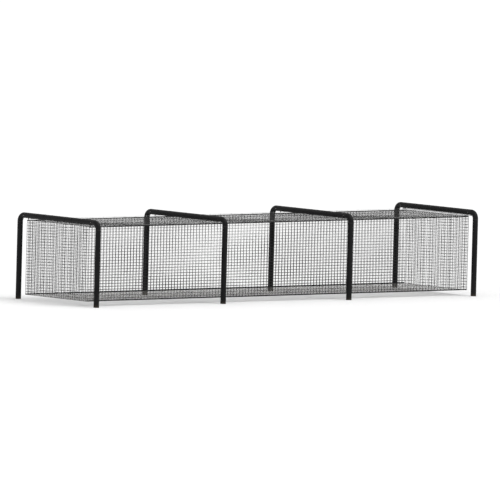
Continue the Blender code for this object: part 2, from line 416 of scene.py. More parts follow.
@dataclass(frozen=True)
class Finish:
    """A finish that a piece can have. It makes its material once."""

    name: str
    slot: Slot | None = None

    def material(self) -> bpy.types.Material:
        """Make the finish's material, the first time that it is asked for.

        Returns:
            The material.
        """
        made = bpy.data.materials.get(self.name)
        if made:
            return made
        made = bpy.data.materials.new(self.name)
        made.use_nodes = True
        self.draw(Graph(made.node_tree), made.node_tree.nodes["Principled BSDF"].inputs)
        return made

    def draw(self, graph: Graph, shader: Sockets) -> None:
        """Draw the finish's nodes in front of its shader.

        Args:
            graph: The material's tree.
            shader: The inputs of its shader.
        """
        raise NotImplementedError

    @staticmethod
    def raise_by(graph: Graph, shader: Sockets, height: Socket, distance: float) -> None:
        """Bump the surface.

        Args:
            graph: The material's tree.
            shader: The inputs of its shader.
            height: The socket with the height, from 0 to 1.
            distance: What a height of 1 stands for.
        """
        bump = graph.add("Bump", Height=height, Distance=distance, Strength=1.0)
        graph.feed(shader["Normal"], bump.outputs["Normal"])


@dataclass(frozen=True)
class FrameCoat(Finish):
    """Satin black powder coat on steel tube, rubbed at its edges and soiled at its feet."""

    name: str = "frame_black_coat"
    slot: Slot = Slot.FRAME_PAINT
    coat: Colour = grey(0.0045, 0.0050)
    faded: Colour = grey(0.0085, 0.0090)
    steel: Colour = rgb(0.22, 0.21, 0.20)
    soil: Colour = rgb(0.085, 0.066, 0.045)
    dust: Colour = rgb(0.06, 0.058, 0.054)
    cloud_size: float = 0.6
    wear: float = 0.42
    wear_patch: float = 0.018
    soil_height: float = 0.25
    soil_speckle: float = 0.035
    soil_cover: float = 0.35
    soil_roughness: float = 0.35
    dust_amount: float = 0.12
    dust_cloud: float = 0.3
    gloss: Point2 = (0.42, 0.54)
    peel: float = 0.0035
    peel_depth: float = 0.00012
    specular: float = 0.12

    def draw(self, graph: Graph, shader: Sockets) -> None:
        """Layer the coat, its fading, wear, dust and soil.

        Args:
            graph: The material's tree.
            shader: The inputs of its shader.
        """
        worn = EdgeWear().place(graph, Amount=self.wear, Patch_Size=self.wear_patch)["Mask"]
        soiled = GroundSoil().place(graph, Height=self.soil_height, Speckle_Size=self.soil_speckle)
        soil = soiled["Mask"]
        dust = LyingDust().place(graph, Amount=self.dust_amount, Cloud_Size=self.dust_cloud)["Mask"]
        peel = Grain().place(graph, Size=self.peel)["Value"]
        cloud = Grain().place(graph, Size=self.cloud_size)["Value"]
        colour = graph.mix(graph.ramp(cloud, 0.35, 0.7), self.coat, self.faded)
        colour = graph.mix(dust, colour, self.dust)
        colour = graph.mix(worn, colour, self.steel)
        colour = graph.mix(graph.math("MULTIPLY", soil, self.soil_cover), colour, self.soil)
        graph.feed(shader["Base Color"], colour)
        rough = graph.math("MULTIPLY", soil, self.soil_roughness)
        rough = graph.math("ADD", graph.ramp(cloud, 0.3, 0.7, *self.gloss), rough, clamp=True)
        graph.feed(shader["Roughness"], rough)
        graph.feed(shader["Metallic"], graph.math("MULTIPLY", worn, 0.8))
        shader["Specular IOR Level"].default_value = self.specular
        self.raise_by(graph, shader, peel, self.peel_depth)


@dataclass(frozen=True)
class Galvanised(Finish):
    """Hot-dip galvanised steel with dull frosty patches and handling marks."""

    name: str = "galvanised_fittings"
    slot: Slot = Slot.GALVANISED
    light: Colour = rgb(0.56, 0.575, 0.59)
    dark: Colour = rgb(0.36, 0.37, 0.385)
    stain: Colour = rgb(0.15, 0.135, 0.12)
    stain_patch: float = 0.02
    cloud_size: float = 0.05
    dull: float = 0.45
    gloss: Point2 = (0.34, 0.52)
    spangle: float = 0.009
    relief: float = 0.0002

    def draw(self, graph: Graph, shader: Sockets) -> None:
        """Tone each patch of zinc, stain it and roughen it.

        Args:
            graph: The material's tree.
            shader: The inputs of its shader.
        """
        zinc = Spangle().place(graph, Size=self.spangle)
        stain = EdgeWear().place(graph, Amount=0.3, Patch_Size=self.stain_patch)["Mask"]
        cloud = Grain().place(graph, Size=self.cloud_size)["Value"]
        colour = graph.mix(zinc["Value"], self.dark, self.light)
        dull = graph.math("MULTIPLY", graph.ramp(cloud, 0.5, 0.75), self.dull)
        colour = graph.mix(graph.math("MAXIMUM", dull, stain), colour, self.stain)
        graph.feed(shader["Base Color"], colour)
        graph.feed(shader["Roughness"], graph.ramp(zinc["Value"], 0.0, 1.0, *self.gloss))
        shader["Metallic"].default_value = 1.0
        self.raise_by(graph, shader, zinc["Height"], self.relief)


@dataclass(frozen=True)
class WireRope(Finish):
    """Stranded galvanised wire rope, with painted shade in the grooves of its lay and clouds of grime.
    """

    name: str = "wire_rope"
    slot: Slot = Slot.CABLE_WIRE
    strand: Colour = rgb(0.40, 0.41, 0.42)
    groove: Colour = rgb(0.05, 0.048, 0.045)
    lay: float = 0.011
    grime_size: float = 0.08
    gloss: Point2 = (0.38, 0.6)
    relief: float = 0.0006

    def draw(self, graph: Graph, shader: Sockets) -> None:
        """Paint shade into the grooves of the strands' lay, cloud it with grime, and raise the strands
        by their lay.

        Args:
            graph: The material's tree.
            shader: The inputs of its shader.
        """
        lay = Twist().place(graph, Lay=self.lay)
        grime = Grain().place(graph, Size=self.grime_size)["Value"]
        # Painted shade: the lay's grooves pull the colour towards the groove colour, clouded with
        # grime.
        painted_light_and_tone = graph.math("MULTIPLY", lay["Shade"], graph.ramp(grime, 0.3, 0.7, 0.55, 1.0))
        graph.feed(shader["Base Color"], graph.mix(painted_light_and_tone, self.groove, self.strand))
        graph.feed(shader["Roughness"], graph.ramp(grime, 0.3, 0.7, *self.gloss))
        shader["Metallic"].default_value = 0.9
        self.raise_by(graph, shader, lay["Height"], self.relief)


@dataclass(frozen=True)
class Cordage(Finish):
    """Black twisted and tarred polymer cord, bleached a little by the sun, with painted shade in the
    grooves of its lay.
    """

    name: str = "net_twine"
    slot: Slot = Slot.NETTING
    tar: Colour = grey(0.011, 0.012)
    bleached: Colour = grey(0.030, 0.031)
    cloud_size: float = 0.35
    lay: float = 0.010
    relief: float = 0.0005
    fuzz_size: float = 0.0015
    fuzz_share: float = 0.2
    dust: Colour = rgb(0.30, 0.285, 0.26)
    dusty: float = 0.1
    dust_cloud: float = 0.5
    gloss: Point2 = (0.72, 0.92)
    specular: float = 0.25

    def draw(self, graph: Graph, shader: Sockets) -> None:
        """Paint shade into the grooves of the strands' lay, raise the strands, and bleach them in
        clouds under a little dust.

        Args:
            graph: The material's tree.
            shader: The inputs of its shader.
        """
        lay = Twist().place(graph, Lay=self.lay)
        cloud = Grain().place(graph, Size=self.cloud_size)["Value"]
        fuzz = Grain().place(graph, Size=self.fuzz_size)["Value"]
        tone = graph.mix(graph.ramp(cloud, 0.35, 0.7), self.tar, self.bleached)
        # Painted shade: the grooves of the lay darken the cord's tone.
        dark = graph.mix(1.0, tone, graph.ramp(lay["Shade"], 0.0, 1.0, 0.25, 1.0), "MULTIPLY")
        lying = LyingDust().place(graph, Amount=self.dusty, Cloud_Size=self.dust_cloud)["Mask"]
        graph.feed(shader["Base Color"], graph.mix(lying, dark, self.dust))
        graph.feed(shader["Roughness"], graph.ramp(fuzz, 0.3, 0.7, *self.gloss))
        shader["Specular IOR Level"].default_value = self.specular
        both = graph.math("MULTIPLY_ADD", fuzz, self.fuzz_share, lay["Height"])
        self.raise_by(graph, shader, both, self.relief)


@dataclass(frozen=True)
class Webbing(Finish):
    """Black woven tape that binds the edge of the net."""

    name: str = "edge_tape"
    slot: Slot = Slot.NETTING
    dark: Colour = grey(0.007, 0.008)
    light: Colour = grey(0.022, 0.023)
    cloud_size: float = 0.2
    rib: float = 0.0022
    cross_share: float = 2.7
    gloss: Point2 = (0.68, 0.85)
    specular: float = 0.2
    relief: float = 0.0004

    def draw(self, graph: Graph, shader: Sockets) -> None:
        """Cross two lays of yarn into a weave, and paint a highlight on its raised crossings.

        Args:
            graph: The material's tree.
            shader: The inputs of its shader.
        """
        yarn = Twist().place(graph, Lay=self.rib)
        cross = Twist().place(graph, Lay=self.rib * self.cross_share)
        cloud = Grain().place(graph, Size=self.cloud_size)["Value"]
        weave = graph.math("MULTIPLY", yarn["Height"], cross["Height"])
        faded = graph.ramp(cloud, 0.3, 0.7, 0.0, 0.4)
        # Painted highlight: the weave's raised crossings are lighter, with faded clouds added.
        painted_light_and_tone = graph.math("ADD", graph.math("MULTIPLY", weave, 0.6), faded)
        graph.feed(shader["Base Color"], graph.mix(painted_light_and_tone, self.dark, self.light))
        graph.feed(shader["Roughness"], graph.ramp(cloud, 0.3, 0.7, *self.gloss))
        shader["Specular IOR Level"].default_value = self.specular
        self.raise_by(graph, shader, weave, self.relief)


@dataclass(frozen=True)
class BlackPlastic(Finish):
    """Moulded black plastic with a fine grain."""

    name: str = "moulded_plug"
    slot: Slot = Slot.FRAME_PAINT
    dark: Colour = grey(0.012, 0.013)
    scuffed: Colour = grey(0.06)
    scuff_patch: float = 0.006
    grain: float = 0.0008
    gloss: Point2 = (0.5, 0.66)
    relief: float = 0.0001

    def draw(self, graph: Graph, shader: Sockets) -> None:
        """Scuff the plastic's edges and grain its surface.

        Args:
            graph: The material's tree.
            shader: The inputs of its shader.
        """
        scuffs = EdgeWear().place(graph, Amount=0.4, Patch_Size=self.scuff_patch)["Mask"]
        grain = Grain().place(graph, Size=self.grain)["Value"]
        graph.feed(shader["Base Color"], graph.mix(scuffs, self.dark, self.scuffed))
        graph.feed(shader["Roughness"], graph.ramp(grain, 0.3, 0.7, *self.gloss))
        self.raise_by(graph, shader, grain, self.relief)


@dataclass(frozen=True)
class PaleFloor(Finish):
    """A plain pale floor."""

    name: str = "pale_floor"
    tone: Colour = grey(0.93)
    shade: Colour = grey(0.90)
    cloud_size: float = 3.0

    def draw(self, graph: Graph, shader: Sockets) -> None:
        """Cloud the floor so faintly that it stays plain.

        Args:
            graph: The material's tree.
            shader: The inputs of its shader.
        """
        cloud = Grain().place(graph, Size=self.cloud_size)["Value"]
        graph.feed(shader["Base Color"], graph.mix(cloud, self.shade, self.tone))
        shader["Roughness"].default_value = 0.95
        shader["Specular IOR Level"].default_value = 0.0


FRAME_COAT = FrameCoat()
ZINC = Galvanised()
BRIGHT_ZINC = Galvanised(
    "zinc_plated_fasteners", light=rgb(0.62, 0.62, 0.60), dark=rgb(0.5, 0.5, 0.48), spangle=0.003
)
WIRE = WireRope()
TWINE = Cordage()
FLOOR_TWINE = Cordage(
    "trodden_twine",
    tar=rgb(0.045, 0.044, 0.042),
    bleached=rgb(0.10, 0.098, 0.092),
    dust=rgb(0.40, 0.38, 0.35),
    dusty=0.9,
)
ROPE = Cordage(
    "border_rope", tar=grey(0.008, 0.009), bleached=grey(0.022, 0.023), lay=0.022, relief=0.0015
)
TAPE = Webbing()
PLASTIC = BlackPlastic()


# Shapes ---------------------------------------------------------------------------------------------


@dataclass(frozen=True)
class Spine:
    """A straight line that rings are strung on, with the direction where each ring starts."""

    start: Vector
    along: Vector
    across: Vector

    def at(self, distance: float) -> tuple[Vector, Vector, Vector]:
        """Find a ring's place.

        Args:
            distance: How far along the spine it is.

        Returns:
            The point there, and the two directions of the ring.
        """
        return self.start + self.along * distance, self.across, self.along.cross(self.across)


@dataclass(frozen=True)
class BentSpine(Spine):
    """A spine that turns through a quarter circle towards a side, and is straight beyond it."""

    towards: Vector = Y
    radius: float = 0.28

    @property
    def length(self) -> float:
        """The length of the bend's middle line."""
        return self.radius * math.pi / 2

    def at(self, distance: float) -> tuple[Vector, Vector, Vector]:
        """Find a ring's place.

        Args:
            distance: How far along the spine it is. Outside the bend the spine is straight.

        Returns:
            The point there, and the two directions of the ring.
        """
        turn = min(max(distance / self.radius, 0.0), math.pi / 2)
        centre = self.start + self.towards * self.radius
        point = centre - self.towards * self.radius * math.cos(turn)
        point += self.along * self.radius * math.sin(turn)
        way = self.along * math.cos(turn) + self.towards * math.sin(turn)
        beyond = distance - min(max(distance, 0.0), self.length)
        return point + way * beyond, self.across, way.cross(self.across)


@dataclass
class Shape:
    """Points and faces that are gathered for one mesh."""

    points: list[np.ndarray] = field(default_factory=list)
    faces: list[list] = field(default_factory=list)
    count: int = 0

    def add(self, points: np.ndarray, faces: Sequence) -> None:
        """Take in more points and faces.

        Args:
            points: The points, three numbers each.
            faces: The faces, whose corners number these points from 0. An array holds faces of
                one kind.
        """
        if isinstance(faces, np.ndarray):
            self.faces.append((faces + self.count).tolist())
        else:
            self.faces.append([[corner + self.count for corner in face] for face in faces])
        self.points.append(np.asarray(points, float).reshape(-1, 3))
        self.count += len(self.points[-1])

    def strung(
        self, spine: Spine, profile: Sequence[Point2], sides: int = FINE, closed: bool = False
    ) -> None:
        """String rings on a spine.

        Args:
            spine: What the rings are strung on.
            profile: Each ring's distance along the spine and its radius. An outside runs forwards.
            sides: How many points a ring has.
            closed: Whether the last ring joins the first, as in a pipe. Otherwise the ends are flat.
        """
        angles = np.arange(sides) * math.tau / sides
        rings = []
        for distance, radius in profile:
            point, across, up = (np.array(v) for v in spine.at(distance))
            ring = np.outer(np.cos(angles), across) + np.outer(np.sin(angles), up)
            rings.append(point + radius * ring)
        self.add(np.concatenate(rings), ring_faces(len(rings), sides, closed))

    def bars(
        self, lines: np.ndarray, section: np.ndarray, first: np.ndarray, second: np.ndarray
    ) -> None:
        """Run bars of one section along many lines that have one direction.

        Args:
            lines: Points, as an array of lines, stations and coordinates.
            section: The section's outline, as pairs along the two directions.
            first: The section's first direction.
            second: Its second direction. First crossed with second points along the lines.
        """
        count, stations, sides = len(lines), lines.shape[1], len(section)
        offsets = section[:, :1] * first + section[:, 1:] * second
        points = lines[:, :, None, :] + offsets[None, None, :, :]
        base = np.arange(count)[:, None, None] * stations * sides
        faces = base + np.array(ring_faces(stations, sides, True)[: (stations - 1) * sides])[None]
        self.add(points, faces.reshape(-1, 4))
        self.faces.append(self.bar_ends(self.count - count * stations * sides, count, stations, sides))

    @staticmethod
    def bar_ends(start: int, count: int, stations: int, sides: int) -> list[list[int]]:
        """Close both ends of many bars.

        Args:
            start: The number of their first point.
            count: How many bars there are.
            stations: How many rings each has.
            sides: How many points each ring has.

        Returns:
            The flat faces.
        """
        ends = []
        for bar in range(count):
            first = start + bar * stations * sides
            last = first + (stations - 1) * sides
            ends += [list(range(first + sides - 1, first - 1, -1)), list(range(last, last + sides))]
        return ends

    def loop(
        self, centre: Vector, points: Sequence[Point2], wire: float, turn: Matrix, sides: int = 8
    ) -> None:
        """Bend round wire into a closed loop.

        Args:
            centre: The loop's middle.
            points: Its middle line, anticlockwise, in its own XY plane.
            wire: The wire's radius.
            turn: How its plane is turned into place.
            sides: How many sides the wire has.
        """
        path = [Vector((x, y, 0)) for x, y in points]
        angles = [math.tau * i / sides for i in range(sides)]
        rings = []
        for before, here, after in zip(path[-1:] + path[:-1], path, path[1:] + path[:1]):
            out = (after - before).normalized().cross(Z)
            rings += [here + (out * math.cos(a) - Z * math.sin(a)) * wire for a in angles]
        placed = [centre + turn @ point for point in rings]
        self.add(np.array(placed), ring_faces(len(path), sides, True))

    def plate(
        self, outline: Sequence[Point2], hole: float, thickness: float, centre: Vector, turn: Matrix
    ) -> None:
        """Make a flat plate with a round hole at its centre and all its edges broken.

        Args:
            outline: The outline, anticlockwise, about the hole in its own XY plane.
            hole: The hole's radius.
            thickness: The plate's thickness.
            centre: Where the hole's middle is.
            turn: How its plane is turned into place.
        """
        chamfer = thickness * 0.12
        half, inner = thickness / 2, thickness / 2 - chamfer
        levels = [(-inner, 0, None), (-half, -chamfer, None), (-half, None, chamfer), (-inner, None, 0)]
        levels += [(inner, None, 0), (half, None, chamfer), (half, -chamfer, None), (inner, 0, None)]
        rings = []
        for height, outside, inside in levels:
            for x, y in outline:
                reach = math.hypot(x, y)
                wanted = reach + outside if inside is None else hole + inside
                rings.append(centre + turn @ Vector((x * wanted / reach, y * wanted / reach, height)))
        self.add(np.array(rings), ring_faces(len(levels), len(outline), True))

    def piece(self, name: str, sharp: float = SHARP, tidy: bool = True) -> bpy.types.Object:
        """Make the mesh object.

        Args:
            name: The piece's name.
            sharp: The angle, in degrees, above which an edge stays sharp.
            tidy: Whether to turn the faces of each shell outwards.

        Returns:
            The new object, which is in the scene.
        """
        mesh = bpy.data.meshes.new(name)
        faces = [face for block in self.faces for face in block]
        mesh.from_pydata(np.concatenate(self.points).tolist(), [], faces)
        if tidy:
            work = bmesh.new()
            work.from_mesh(mesh)
            bmesh.ops.recalc_face_normals(work, faces=work.faces)
            work.to_mesh(mesh)
            work.free()
        mesh.shade_smooth()
        mesh.set_sharp_from_angle(angle=math.radians(sharp))
        made = bpy.data.objects.new(name, mesh)
        bpy.context.scene.collection.objects.link(made)
        return made


def ring_faces(rings: int, sides: int, closed: bool) -> list[list[int]]:
    """Join rings of points.

    Args:
        rings: How many rings there are.
        sides: How many points each has.
        closed: Whether the last ring joins the first. Otherwise the ends are flat.

    Returns:
        The faces.
    """
    faces = []
    for ring in range(rings if closed else rings - 1):
        low, high = ring * sides, (ring + 1) % rings * sides
        for side in range(sides):
            after = (side + 1) % sides
            faces.append([low + side, low + after, high + after, high + side])
    if not closed:
        faces += [list(range(sides - 1, -1, -1)), list(range((rings - 1) * sides, rings * sides))]
    return faces


def arc(centre: Point2, radius: float, start: float, end: float, steps: int) -> list[Point2]:
    """Draw an arc.

    Args:
        centre: Its centre.
        radius: Its radius.
        start: The angle where it starts, in degrees.
        end: The angle where it ends, in degrees.
        steps: How many steps it takes.

    Returns:
        Its points.
    """
    angles = [math.radians(start + (end - start) * i / steps) for i in range(steps + 1)]
    return [(centre[0] + radius * math.cos(a), centre[1] + radius * math.sin(a)) for a in angles]


def stadium(width: float, height: float, steps: int = 8) -> list[Point2]:
    """Draw the middle line of an upright link with round ends.

    Args:
        width: Its width.
        height: Its height.
        steps: How many steps each round end takes.

    Returns:
        Its points, anticlockwise.
    """
    radius = width / 2
    reach = height / 2 - radius
    return arc((0, reach), radius, 0, 180, steps) + arc((0, -reach), radius, 180, 360, steps)


def disc(radius: float, sides: int) -> np.ndarray:
    """Return the outline of a round section."""
    angles = (np.arange(sides) + 0.5) * math.tau / sides
    return radius * np.stack([np.cos(angles), np.sin(angles)], axis=1)


def slab(width: float, thickness: float) -> np.ndarray:
    """Draw the section of a flat tape with rounded sides.

    Args:
        width: Its width, along the first direction.
        thickness: Its thickness.

    Returns:
        Its outline.
    """
    half, edge = width / 2, thickness / 2
    flat = half - edge
    outline = [(flat, -edge), (half, 0), (flat, edge), (-flat, edge), (-half, 0), (-flat, -edge)]
    return np.array(outline)


def chamfered(low: float, high: float, radius: float, edge: float) -> list[Point2]:
    """Return the profile of a solid round bar with broken edges."""
    return [(low, radius - edge), (low + edge, radius), (high - edge, radius), (high, radius - edge)]


def pipe(low: float, high: float, outer: float, inner: float, edge: float) -> list[Point2]:
    """Draw the closed profile of a pipe with broken edges.

    Rings run along it and stand beside each edge, so that wear stays at the edge.

    Args:
        low: Where it starts.
        high: Where it ends.
        outer: Its outer radius.
        inner: Its inner radius.
        edge: How much of each outer edge is broken.

    Returns:
        The distances and radii of its rings.
    """
    near, steps = 4 * edge, 8
    runs = [low + near + (high - low - 2 * near) * i / steps for i in range(steps + 1)]
    outside = chamfered(low, high, outer, edge)
    outside = outside[:2] + [(run, outer) for run in runs] + outside[2:]
    half = edge / 2
    inside = [(high, inner + half), (high - half, inner), (low + half, inner), (low, inner + half)]
    return outside + inside


def middle(node: str) -> Vector:
    """Return the middle of a node's box."""
    low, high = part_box(node)
    return (low + high) / 2


def turned_to(plane_x: Vector, plane_y: Vector) -> Matrix:
    """Return the turn that takes X to one direction and Y to another."""
    return Matrix((plane_x, plane_y, plane_x.cross(plane_y))).transposed()


def fuse(
    base: bpy.types.Object, others: Sequence[bpy.types.Object], operation: str = "UNION"
) -> bpy.types.Object:
    """Join other meshes to a base, or cut them out of it, and remove them.

    Args:
        base: The mesh that stays.
        others: The meshes that are used up.
        operation: UNION or DIFFERENCE.

    Returns:
        The base, with its new mesh.
    """
    for other in others:
        cut = base.modifiers.new(operation.lower(), "BOOLEAN")
        cut.operation = operation
        cut.object = other
    graph = bpy.context.evaluated_depsgraph_get()
    mesh = bpy.data.meshes.new_from_object(base.evaluated_get(graph))
    base.modifiers.clear()
    base.data = mesh
    mesh.shade_smooth()
    mesh.set_sharp_from_angle(angle=math.radians(SHARP))
    for other in others:
        bpy.data.objects.remove(other, do_unlink=True)
    return base


def dress(piece: bpy.types.Object, finish: Finish, body: Body, *nodes: str) -> bpy.types.Object:
    """Give a piece its finish and its body, and let it stand for the nodes that it replaces.

    Args:
        piece: The piece, in place.
        finish: Its finish.
        body: The body that it rides on.
        nodes: The nodes that it stands for.

    Returns:
        The piece.
    """
    piece.data.materials.clear()
    piece.data.materials.append(finish.material())
    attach(piece, body.value)
    if nodes:
        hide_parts(*nodes)
    LOG.info("%s: %d faces, %s, on %s", piece.name, len(piece.data.polygons), finish.name, body.value)
    return piece


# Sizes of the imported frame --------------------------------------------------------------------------


@dataclass(frozen=True)
class Layout:
    """The places that every sub-assembly shares, all read from the frame."""

    arch_x: tuple[float, ...]
    post_y: float
    beam_z: float
    tube: float
    line_y: float
    line_z: float
    net_low: Vector
    net_high: Vector

    @classmethod
    def read(cls) -> "Layout":
        """Measure the frame.

        Returns:
            The places that it gives.
        """
        numbers = sorted({int(n.split("_")[1]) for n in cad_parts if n.startswith("frame_")})
        beam_low, beam_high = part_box("frame_1_beam")
        near_low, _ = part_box("net_near_wall")
        _, far_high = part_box("net_far_wall")
        cable = middle("far_cable")
        return cls(
            arch_x=tuple(middle(f"frame_{n}_beam").x for n in numbers),
            post_y=middle("frame_1_far_post").y,
            beam_z=middle("frame_1_beam").z,
            tube=(beam_high.z - beam_low.z) / 2,
            line_y=cable.y,
            line_z=cable.z,
            net_low=Vector((near_low.x, middle("net_near_wall").y, near_low.z)),
            net_high=Vector((far_high.x, middle("net_far_wall").y, far_high.z)),
        )

    @property
    def bay(self) -> float:
        """From one arch to the next."""
        return self.arch_x[1] - self.arch_x[0]

    def dip(self, x: np.ndarray, depth: float) -> np.ndarray:
        """Work out how far a line along the cage hangs down between the arches that hold it.

        Args:
            x: The places along the cage.
            depth: How far it hangs down in the middle of a bay.

        Returns:
            The dip at each place.
        """
        return depth * np.sin(np.pi * (x - self.arch_x[0]) / self.bay) ** 2


# Sub-assemblies -------------------------------------------------------------------------------------


@dataclass
class Arch:
    """One arch: capped posts, bent corners with reduced sleeves, a beam and their cross bolts."""

    number: int
    at: Layout
    wall: float = 0.0063
    bend_radius: float = 0.28
    lip: float = 0.02
    sleeve: float = 0.1125
    sleeve_wall: float = 0.006
    sleeve_length: float = 0.18
    edge: float = 0.002
    gap: float = 0.0003
    bend_steps: int = 24
    bolt_inset: float = 0.09
    bolt: float = 0.008
    head_flats: float = 0.024
    head_height: float = 0.010
    nut_height: float = 0.013
    washer: float = 0.015
    washer_height: float = 0.0025
    washer_edge: float = 0.0006
    seated: float = 0.0008
    hex_foot: float = 0.94
    hex_crown: float = 0.90
    foot_bevel: float = 0.0012
    crown_bevel: float = 0.0016
    thread_depth: float = 0.0009
    tip_taper: float = 0.0012

    @property
    def x(self) -> float:
        """Where the arch stands along the cage."""
        return self.at.arch_x[self.number - 1]

    def build(self) -> None:
        """Build the whole arch."""
        self.beam()
        for side in Side:
            self.foot(side)
            self.post(side)
            self.corner(side)
            self.bolts(side)

    def spine(self, side: Side) -> BentSpine:
        """Return the corner's middle line, which starts where the post's top begins to bend."""
        start = Vector((self.x, side.value * self.at.post_y, self.at.beam_z - self.bend_radius))
        return BentSpine(start, Z, X, towards=-side.value * Y, radius=self.bend_radius)

    def foot(self, side: Side) -> None:
        """Build a foot cap: a round plate with a stub inside the post.

        Args:
            side: The side of the cage that it stands on.
        """
        node = f"frame_{self.number}_{side.label}_foot_cap"
        low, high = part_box(node)
        post_low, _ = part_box(f"frame_{self.number}_{side.label}_post")
        plate = post_low.z - self.gap - low.z
        shape = Shape()
        profile = [(0, self.at.tube - self.edge), (self.edge, self.at.tube), (plate, self.at.tube)]
        stub = high.z - low.z
        profile += [(plate, self.sleeve), (stub - self.edge, self.sleeve)]
        profile += [(stub, self.sleeve - self.edge)]
        shape.strung(Spine(Vector((self.x, side.value * self.at.post_y, low.z)), Z, X), profile, ROUND)
        dress(shape.piece(f"{node}_plate"), FRAME_COAT, Body.CAGE, node)

    def post(self, side: Side) -> None:
        """Build a post.

        Args:
            side: The side of the cage that it stands on.
        """
        node = f"frame_{self.number}_{side.label}_post"
        low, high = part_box(node)
        spine = Spine(Vector((self.x, side.value * self.at.post_y, low.z)), Z, X)
        self.tube(node, spine, high.z - low.z)

    def beam(self) -> None:
        """Build the beam."""
        node = f"frame_{self.number}_beam"
        low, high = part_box(node)
        self.tube(node, Spine(Vector((self.x, low.y, self.at.beam_z)), Y, X), high.y - low.y)

    def tube(self, node: str, spine: Spine, length: float) -> None:
        """Build a straight tube.

        Args:
            node: The node that it stands for.
            spine: Its middle line.
            length: Its length.
        """
        shape = Shape()
        profile = pipe(0, length, self.at.tube, self.at.tube - self.wall, self.edge)
        shape.strung(spine, profile, ROUND, closed=True)
        dress(shape.piece(f"{node}_tube"), FRAME_COAT, Body.CAGE, node)

    def corner(self, side: Side) -> None:
        """Build a corner: a smooth bend whose sleeves slide into the post and the beam.

        Args:
            side: The side of the cage that it stands on.
        """
        node = f"frame_{self.number}_{side.label}_corner"
        spine = self.spine(side)
        tube, sleeve, edge, bend = self.at.tube, self.sleeve, self.edge, spine.length
        reach = self.lip + self.sleeve_length
        bore = sleeve - self.sleeve_wall
        outside = [(-reach, sleeve - edge), (-reach + edge, sleeve), (-self.lip, sleeve)]
        outside += [(-self.lip, tube - edge), (-self.lip + edge, tube)]
        outside += [(-self.lip + 4 * edge, tube)]
        outside += [(bend * i / self.bend_steps, tube) for i in range(self.bend_steps + 1)]
        outside += [(bend + self.lip - 4 * edge, tube)]
        outside += [(bend + self.lip - edge, tube), (bend + self.lip, tube - edge)]
        outside += [(bend + self.lip, sleeve), (bend + reach - edge, sleeve)]
        outside += [(bend + reach, sleeve - edge)]
        inside = [(bend * i / self.bend_steps, bore) for i in range(self.bend_steps, -1, -1)]
        inside = [(bend + reach, bore)] + inside + [(-reach, bore)]
        shape = Shape()
        shape.strung(spine, outside + inside, ROUND, closed=True)
        dress(shape.piece(f"{node}_bend"), FRAME_COAT, Body.CAGE, node)

    def bolts(self, side: Side) -> None:
        """Build the cross bolts that hold the corner's two sleeves.

        Args:
            side: The side of the cage that it stands on.
        """
        spine = self.spine(side)
        shape = Shape()
        for distance in (-self.lip - self.bolt_inset, spine.length + self.lip + self.bolt_inset):
            self.cross_bolt(shape, spine.at(distance)[0])
        name = f"frame_{self.number}_{side.label}_corner_bolts"
        dress(shape.piece(name), BRIGHT_ZINC, Body.CAGE)

    def cross_bolt(self, shape: Shape, centre: Vector) -> None:
        """Add a bolt through the tube along X, with a washer at each side, a head and a nut.

        Args:
            shape: What the bolt is added to.
            centre: Its middle.
        """
        corner = self.head_flats / math.sqrt(3)
        face = self.at.tube + self.gap - self.seated
        seat = face + self.washer_height
        for way in (-1, 1):
            spine = Spine(centre, way * X, Z)
            shape.strung(spine, chamfered(face, seat, self.washer, self.washer_edge), FINE)
            tall = self.head_height if way < 0 else self.nut_height
            hexagon = [(seat, corner * self.hex_foot), (seat + self.foot_bevel, corner)]
            hexagon += [(seat + tall - self.crown_bevel, corner)]
            shape.strung(spine, hexagon + [(seat + tall, corner * self.hex_crown)], 6)
        shape.strung(Spine(centre, X, Z), self.thread(seat + self.nut_height), FINE)

    def thread(self, start: float, pitch: float = 0.002, turns: int = 4) -> list[Point2]:
        """Draw the threaded tip beyond a nut, crest and root in turn.

        Args:
            start: Where the nut ends.
            pitch: From one crest to the next.
            turns: How many crests show.

        Returns:
            The tip's profile.
        """
        tip = [(start - 0.001, self.bolt)]
        for turn in range(turns):
            root = (start + (turn + 0.5) * pitch, self.bolt - self.thread_depth)
            tip += [(start + turn * pitch, self.bolt), root]
        return tip + [(start + turns * pitch, self.bolt - self.tip_taper)]


